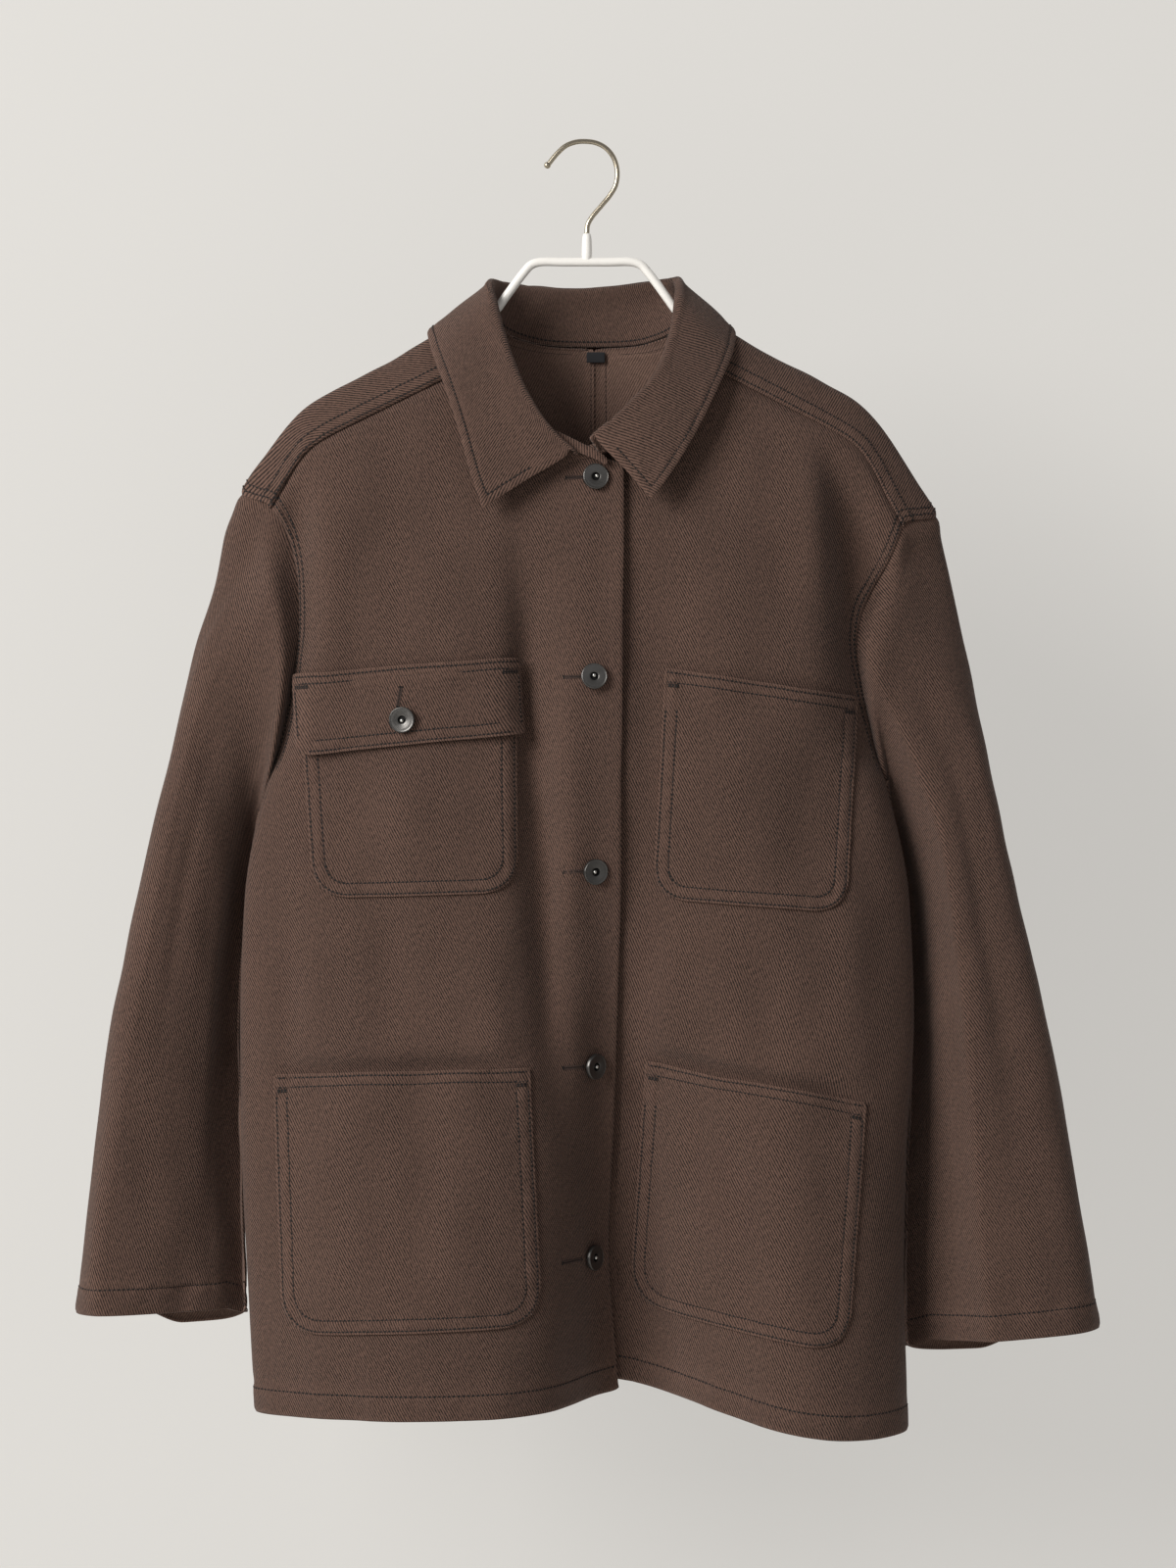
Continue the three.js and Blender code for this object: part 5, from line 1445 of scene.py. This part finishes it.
def sewPatch(name):
    spec = patches[name]
    flap = "flap" in name
    rows = flapRows if flap else pocketRows
    c = [np.array(q, float) for q in spec["corners"]]
    downOuter, downInner, across = (b - a for a, b in ((c[0], c[3]), (c[1], c[2]), (c[0], c[1])))
    downOuter, downInner, across = (way / np.linalg.norm(way) for way in (downOuter, downInner, across))
    parts = []

    def sew(line, seed, **more):
        parts.extend(stitchParts(*patchLine(spec, line), seed=seed, **more))

    # the flap covers the mouth of the right chest pocket
    if name != "chest_pocket_right":
        for at in rows["top"]:
            sew(between(c[0] + downOuter * at + across * 1.8, c[1] + downInner * at - across * 1.8, 120), 17)
        # short doubled rows hold the top corners
        for corner, way, down in ((c[0], across, downOuter), (c[1], -across, downInner)):
            for more in cornerBars["below"]:
                at = corner + down * (rows["top"][1] + more)
                line = between(at + way * cornerBars["from"], at + way * cornerBars["to"], 12)
                sew(line, 19, pitch=cornerBars["pitch"], radius=cornerBars["radius"])
    # the points of a ring run over the top, down the inner side, back over the bottom and up the outer side
    inner, bottom, outer = np.cumsum(spec["counts"][:3])
    for by in rows["round"]:
        ring = insetOutline(spec["corners"], spec["radii"], by, spec["counts"])
        if flap:
            line = ring[bottom:outer + 1][2:-2]
        else:
            line = np.vstack([ring[inner:], ring[:1]])
            line = line[(line - c[0]) @ downOuter > rows["top"][1] + 3.5]
        sew(line, 23)
    if flap:
        ring = insetOutline(spec["corners"], spec["radii"], rows["ends"], spec["counts"])
        sew(ring[inner + 4:bottom - 2], 29)
        sew(ring[outer + 3:-4], 31)
    sewnPiece(name + "_stitches", name, parts)


for name in patches:
    sewPatch(name)
print("stitches made")


# Buttonholes: two close rows of thread along a slit, with a bar at each end. The slit is a dark strip of
# painted shade, and the bars take the same dark colour
# Points on the outside of the right front, with its normals, over x and z
def frontLine(flat):
    x, z = flat[:, 0], flat[:, 1]
    n = mapNormals(maps["front_right"], x, z)
    return np.stack([x, onMap(maps["front_right"], x, z), z], axis=-1) + n * panelHalf, n


def buttonhole(name, node, place, start, end):
    start, end = np.array(start, float), np.array(end, float)
    way = (end - start) / np.linalg.norm(end - start)
    side = np.array([-way[1], way[0]])
    parts = []
    for sign in (-1, 1):
        line = between(start + side * sign * 0.75, end + side * sign * 0.75, 20)
        centre, ahead, n = alongLine(*place(line), 0.42)
        parts.append((*threadMesh(centre, np.cross(ahead, n), n, 1.5, 0.2, 0.12, 37), 0))
    # a dark strip of painted shade along the slit
    centre, ahead, n = alongLine(*place(between(start, end, 20)), 0.5)
    parts.append((*holeShadeMesh(centre, ahead, n, 0.24, 0.2), 1))
    # bars of thread at both ends, in the same dark colour
    for at in (start, end):
        centre, ahead, n = alongLine(*place(between(at - side * 1.3, at + side * 1.3, 6)), 0.4)
        parts.append((*threadMesh(centre, np.cross(ahead, n), n, 1.3, 0.24, 0.22, 39), 1))
    sewnPiece(name, node, parts)


frontButtons = [(6, -227), (5, -360), (5, -489), (4, -620), (3, -750)]
flapButton = (-120, -388.5)
for k, (x, z) in enumerate(frontButtons):
    buttonhole(f"buttonhole_{k + 1}", "front_right", frontLine, (x - 19.5, z - 0.3), (x - 6.5, z + 0.2))
flapSpec = patches["pocket_flap_right"]


def flapLine(flat):
    return patchLine(flapSpec, flat)


buttonhole("flap_buttonhole", "pocket_flap_right", flapLine, (-121.5, -367), (-123.3, -380))


def deselect():
    bpy.ops.object.select_all(action="DESELECT")


# Names the object made last and gives it its materials
def active(name, *materials):
    obj = bpy.context.object
    obj.name = name
    obj.data.name = name
    for m in materials:
        obj.data.materials.append(m)
    return obj


# Several objects as one mesh in place
def joined(name, parts):
    deselect()
    for part in parts:
        part.select_set(True)
    bpy.context.view_layer.objects.active = parts[0]
    bpy.ops.object.join()
    obj = bpy.context.object
    obj.name = obj.data.name = name
    bpy.ops.object.transform_apply(location=True, rotation=True, scale=True)
    return obj


# Selects the flat face at one height, for edit mode
def capFace(obj, at):
    for f in obj.data.polygons:
        f.select = abs(f.center.z - at) < 1e-6 and abs(f.normal.z) > 0.9
    for e in obj.data.edges:
        e.select = False
    for v in obj.data.vertices:
        v.select = False


button = {"radius": 8.6, "foot": 2.05, "body": 2.0, "stem": 3.4, "dome": 1.4}
# inwards and upwards steps of the button's face, from its rim to its hollow
buttonSteps = [(0.25, 0.3), (0.3, 0.1), (0.35, -0.22), (0.9, 0.04), (1.5, -0.16), (1.4, -0.3), (1.1, -0.1),
               (0.3, -0.35), (0.15, -1.2)]
# how each button leans, as it hangs a little to one side, and where its tack shows in the hollow as a bright
# dome, a painted highlight
leans = [(0.2, 0, 0.02), (0.02, 0, 0.1), (0.2, 0, 0.03), (0.08, 0, 0.02), (0.1, 0, 0.04)]
tackHighlights = [(0.75, 0.4), (0, 0.55), (-0.6, 0), (0.6, 0), (0.7, 0)]


def makeButton(name, point, normal, lean, tack):
    deselect()
    bpy.ops.mesh.primitive_cylinder_add(vertices=64, radius=button["radius"] * mm, depth=button["body"] * mm,
                                        location=(0, 0, (button["foot"] + button["body"] / 2) * mm))
    body = active(name, gunmetal, gunmetalShade, tackHighlightMetal)
    bpy.ops.object.transform_apply(location=True)
    capFace(body, (button["foot"] + button["body"]) * mm)
    bpy.ops.object.mode_set(mode="EDIT")
    bpy.ops.mesh.select_mode(type="FACE")
    for inwards, up in buttonSteps:
        bpy.ops.mesh.inset(thickness=inwards * mm, depth=up * mm)
    bpy.ops.object.mode_set(mode="OBJECT")
    # faces inside the hollow take the dark copy of the gunmetal, painted shade
    shadedHollowRadius = button["radius"] - sum(step[0] for step in buttonSteps[:-2])
    for f in body.data.polygons:
        if math.hypot(f.center.x, f.center.y) < shadedHollowRadius * mm and f.normal.z > -0.5:
            f.material_index = 1
    deselect()
    # the tack end is a small dome of bright metal, a painted highlight in the dark hollow
    domeZ = button["foot"] + button["body"] - 1.0
    bpy.ops.mesh.primitive_uv_sphere_add(segments=24, ring_count=12, radius=button["dome"] * mm,
                                         location=Vector((*tack, domeZ)) * mm)
    dome = active(name + "_dome", gunmetal, gunmetalShade, tackHighlightMetal)
    for f in dome.data.polygons:
        f.material_index = 2
    deselect()
    bpy.ops.mesh.primitive_cylinder_add(vertices=32, radius=button["stem"] * mm, depth=button["foot"] * mm,
                                        location=(0, 0, (button["foot"] / 2 + 0.1) * mm))
    stem = active(name + "_stem", gunmetal, gunmetalShade, tackHighlightMetal)
    whole = joined(name + "_metal", [body, dome, stem])
    bpy.ops.object.shade_smooth_by_angle(angle=math.radians(50))
    turn = (Vector(normal) + Vector(lean)).normalized().to_track_quat("Z", "Y")
    whole.data.transform(Matrix.Translation(Vector(point) * mm) @ turn.to_matrix().to_4x4())
    finishPiece(whole, name)


for k, place in enumerate(frontButtons):
    point, n = frontLine(np.array([place], float))
    makeButton(f"front_button_{k + 1}", point[0], n[0], leans[k], tackHighlights[k])
point, n = flapLine(np.array([flapButton], float))
# the flap button's tack shows as a bright dome of painted highlight, a little low in the hollow
makeButton("flap_button", point[0] - n[0] * 0.2, n[0], (0, 0, -0.04), (0, -0.55))
print("buttons made")


# The black tab is a folded piece of tape inside the back neck
tabBox = [Vector(c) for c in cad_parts["neck_tab"].bound_box]
tabLow = Vector([min(c[k] for c in tabBox) for k in range(3)])
tabHigh = Vector([max(c[k] for c in tabBox) for k in range(3)])
deselect()
bpy.ops.mesh.primitive_cube_add(size=1, location=(tabLow + tabHigh) / 2, scale=tabHigh - tabLow)
tab = active("neck_tab_tape", tabCloth)
bpy.ops.object.transform_apply(location=True, rotation=True, scale=True)
soft = tab.modifiers.new("edges", "BEVEL")
soft.width, soft.segments = 0.42 * mm, 3
bpy.ops.object.modifier_apply(modifier="edges")
bpy.ops.object.mode_set(mode="EDIT")
bpy.ops.mesh.select_all(action="SELECT")
bpy.ops.mesh.subdivide(number_cuts=3)
bpy.ops.object.mode_set(mode="OBJECT")
bpy.ops.object.shade_smooth()
finishPiece(tab, "neck_tab")


# Hanger
hookPath = [(-26, -14.5), (-19.5, -6.5), (-13.5, -1.2), (-6.8, 1.3), (0, 1.7), (7, 0.6), (13.6, -3),
            (18.6, -9.4), (21, -18.3), (20, -27.6), (16.2, -34.5), (10.4, -41.5), (3.8, -49.5), (1.2, -54.4),
            (0.6, -60)]
archCorners = [(15, -79.5), (31, -79.5), (37, -81.5), (42, -86.8), (54, -102.8), (61, -112.3), (69, -119)]
hanger = {"wire": 1.7, "arch": 3.0, "drop": 6.2, "endX": 181, "neckX": 0.6, "neckZ": -79.5, "ball": 2.3}


# A round wire through points in the hanger's plane
def wireTube(name, path, radius, material):
    smoothPath = throughPoints([(x, 0, z) for x, z in path], np.linspace(0, 1, len(path) * 10))
    deselect()
    bpy.ops.curve.primitive_nurbs_path_add()
    curve = bpy.context.object
    curve.data.splines.clear()
    spline = curve.data.splines.new("POLY")
    spline.points.add(len(smoothPath) - 1)
    for point, place in zip(spline.points, smoothPath):
        point.co = (*(place * mm), 1)
    curve.data.bevel_depth = radius * mm
    curve.data.bevel_resolution = 6
    curve.data.use_fill_caps = True
    bpy.ops.object.convert(target="MESH")
    obj = active(name, material)
    for f in obj.data.polygons:
        f.use_smooth = len(f.vertices) == 4
    return obj


# the arms run a little below the lower of the two shoulders
arms = list(archCorners)
bend = archCorners[-1][0]
for t in (0.25, 0.5, 0.75, 1):
    x = bend + (hanger["endX"] - bend) * t
    arms.append((x, min(ridge(side, x)[0] for side in sides.values()) - hanger["drop"]))
archPath = [(-x, z) for x, z in arms[::-1]] + [(0, hanger["neckZ"])] + arms
arch = wireTube("arch", archPath, hanger["arch"], coating)
deselect()
# height and radius of the sleeve that joins the hook to the arch
neckRings = [(hanger["neckZ"], 2.6), (-76.5, 3.15), (-75, 3.5), (-71, 3.45), (-66, 3.3), (-62.5, 2.95),
             (-61, 2.6), (-60.4, 2.0)]
bpy.ops.mesh.primitive_cylinder_add(vertices=32, radius=neckRings[0][1] * mm, depth=0.2 * mm,
                                    location=(hanger["neckX"] * mm, 0, (hanger["neckZ"] - 0.1) * mm))
neck = active("neck", coating)
bpy.ops.object.transform_apply(location=True)
capFace(neck, hanger["neckZ"] * mm)
bpy.ops.object.mode_set(mode="EDIT")
bpy.ops.mesh.select_mode(type="FACE")
for (z0, r0), (z1, r1) in zip(neckRings, neckRings[1:]):
    bpy.ops.mesh.extrude_region_move(TRANSFORM_OT_translate={"value": (0, 0, (z1 - z0) * mm)})
    bpy.ops.transform.resize(value=(r1 / r0, r1 / r0, 1), center_override=(hanger["neckX"] * mm, 0, z1 * mm))
bpy.ops.object.mode_set(mode="OBJECT")
arch = joined("hanger_arch_wire", [arch, neck])
bpy.ops.object.shade_smooth_by_angle(angle=math.radians(50))
finishPiece(arch, "hanger_arch")
hook = wireTube("hook", hookPath, hanger["wire"], hookMetal)
deselect()
bpy.ops.mesh.primitive_uv_sphere_add(segments=32, ring_count=16, radius=hanger["ball"] * mm,
                                     location=(hookPath[0][0] * mm, 0, -14.3 * mm))
ball = active("ball", hookMetal)
bpy.ops.object.shade_smooth()
hook = joined("hanger_hook_wire", [hook, ball])
finishPiece(hook, "hanger_hook")
print("hanger made")

# What each sheet of cloth was cut as, and what holds it
rests = {"collar_cloth": ("folded", ["back_right_cloth", "back_left_cloth"])}
for name in standEnds:
    rests[f"stand_end_{name}_cloth"] = ("folded", [f"front_{name}_cloth"])
for name, spec in patches.items():
    rests[name + "_cloth"] = ("laid", [spec["on"] + "_cloth"])
rests["pocket_flap_right_cloth"] = ("laid", ["chest_pocket_right_cloth"])
for entry in sheets:
    piece = entry["piece"]
    held, on = rests.get(piece.name, ("hung", ["hanger_arch_wire"]))
    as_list(on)


# The room: a pale wall close behind, a floor well below, and soft light from the left
mat, fill, node, _, noise = materialKit("wall")
fromObject = node("TexCoord", {}).outputs["Object"]
shade = node("Mix", {0: noise(3, 2, fromObject), 6: (0.222, 0.217, 0.208, 1), 7: (0.236, 0.231, 0.222, 1)},
             data_type="RGBA")
bump = node("Bump", {"Strength": 0.12, "Distance": 0.0005, "Height": noise(160, 5, fromObject)})
paint = fill(mat.node_tree.nodes["Principled BSDF"], {
    "Roughness": 0.95, "Specular IOR Level": 0.1, "Emission Color": (1, 0.975, 0.93, 1),
    "Emission Strength": 0.485, "Base Color": shade.outputs[2], "Normal": bump.outputs[0]})
# seen from behind, and by light coming from behind, the wall lets everything through
behind = node("NewGeometry", {}).outputs["Backfacing"]
clear = node("BsdfTransparent", {}).outputs[0]
choose = node("MixShader", {0: behind, 1: paint.outputs[0], 2: clear})
fill(mat.node_tree.nodes["Material Output"], {0: choose.outputs[0]})


def plane(name, material, place, turn, width, height):
    deselect()
    bpy.ops.mesh.primitive_plane_add(size=1, location=(0, 0, 0))
    obj = active(name, material)
    scale = Matrix.Diagonal((width, height, 1, 1))
    obj.data.transform(Matrix.Translation(place) @ Matrix.Rotation(turn, 4, "X") @ scale)
    return obj


wall = plane("wall", mat, (0, 0.29, -0.45), math.pi / 2, 7, 3.4)
floorTone = plainMaterial("floor", (0.72, 0.71, 0.68), 0.9, 0.0, 0.02, 40)
ground = plane("floor", floorTone, (0, -1.4, -1.9), 0, 7, 7)
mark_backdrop(wall, ground)


def areaLight(name, place, aim, width, height, power, color):
    data = bpy.data.lights.new(name, "AREA")
    data.shape = "RECTANGLE"
    data.size, data.size_y, data.energy, data.color = width, height, power, color
    obj = bpy.data.objects.new(name, data)
    obj.location = place
    obj.rotation_euler = (Vector(aim) - Vector(place)).to_track_quat("-Z", "Y").to_euler()
    bpy.context.scene.collection.objects.link(obj)


areaLight("window", (-3.1, -2.8, 1.25), (0, 0, 0.1), 2.2, 2.4, 232, (1, 0.985, 0.96))
areaLight("fill", (1.8, -3.6, 0.1), (0, 0, -0.5), 2.5, 2.5, 8, (0.97, 0.98, 1))
areaLight("behind", (0.6, 2.6, 0.8), (0, 0, -0.45), 2, 2, 30, (1, 0.99, 0.98))
world = bpy.data.worlds.new("room")
bpy.context.scene.world = world
world.use_nodes = True
world.node_tree.nodes["Background"].inputs[0].default_value = (1, 0.985, 0.97, 1)
world.node_tree.nodes["Background"].inputs[1].default_value = 0.25

# The photo's camera, straight in front and 2.6 m away
photoLens = {"length": 88.64, "sensor": 36, "place": (0.00132, -2.6, -0.431)}
lens = bpy.data.cameras.new("camera")
lens.lens, lens.sensor_width = photoLens["length"], photoLens["sensor"]
camera = bpy.data.objects.new("camera", lens)
camera.location = photoLens["place"]
camera.rotation_euler = (math.pi / 2, 0, 0)
bpy.context.scene.collection.objects.link(camera)
bpy.context.scene.camera = camera
bpy.context.scene.view_settings.view_transform = "Standard"
print("room made")

low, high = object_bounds()
{"cad": [list(cadLow), list(cadHigh)], "visual": [list(low), list(high)]}
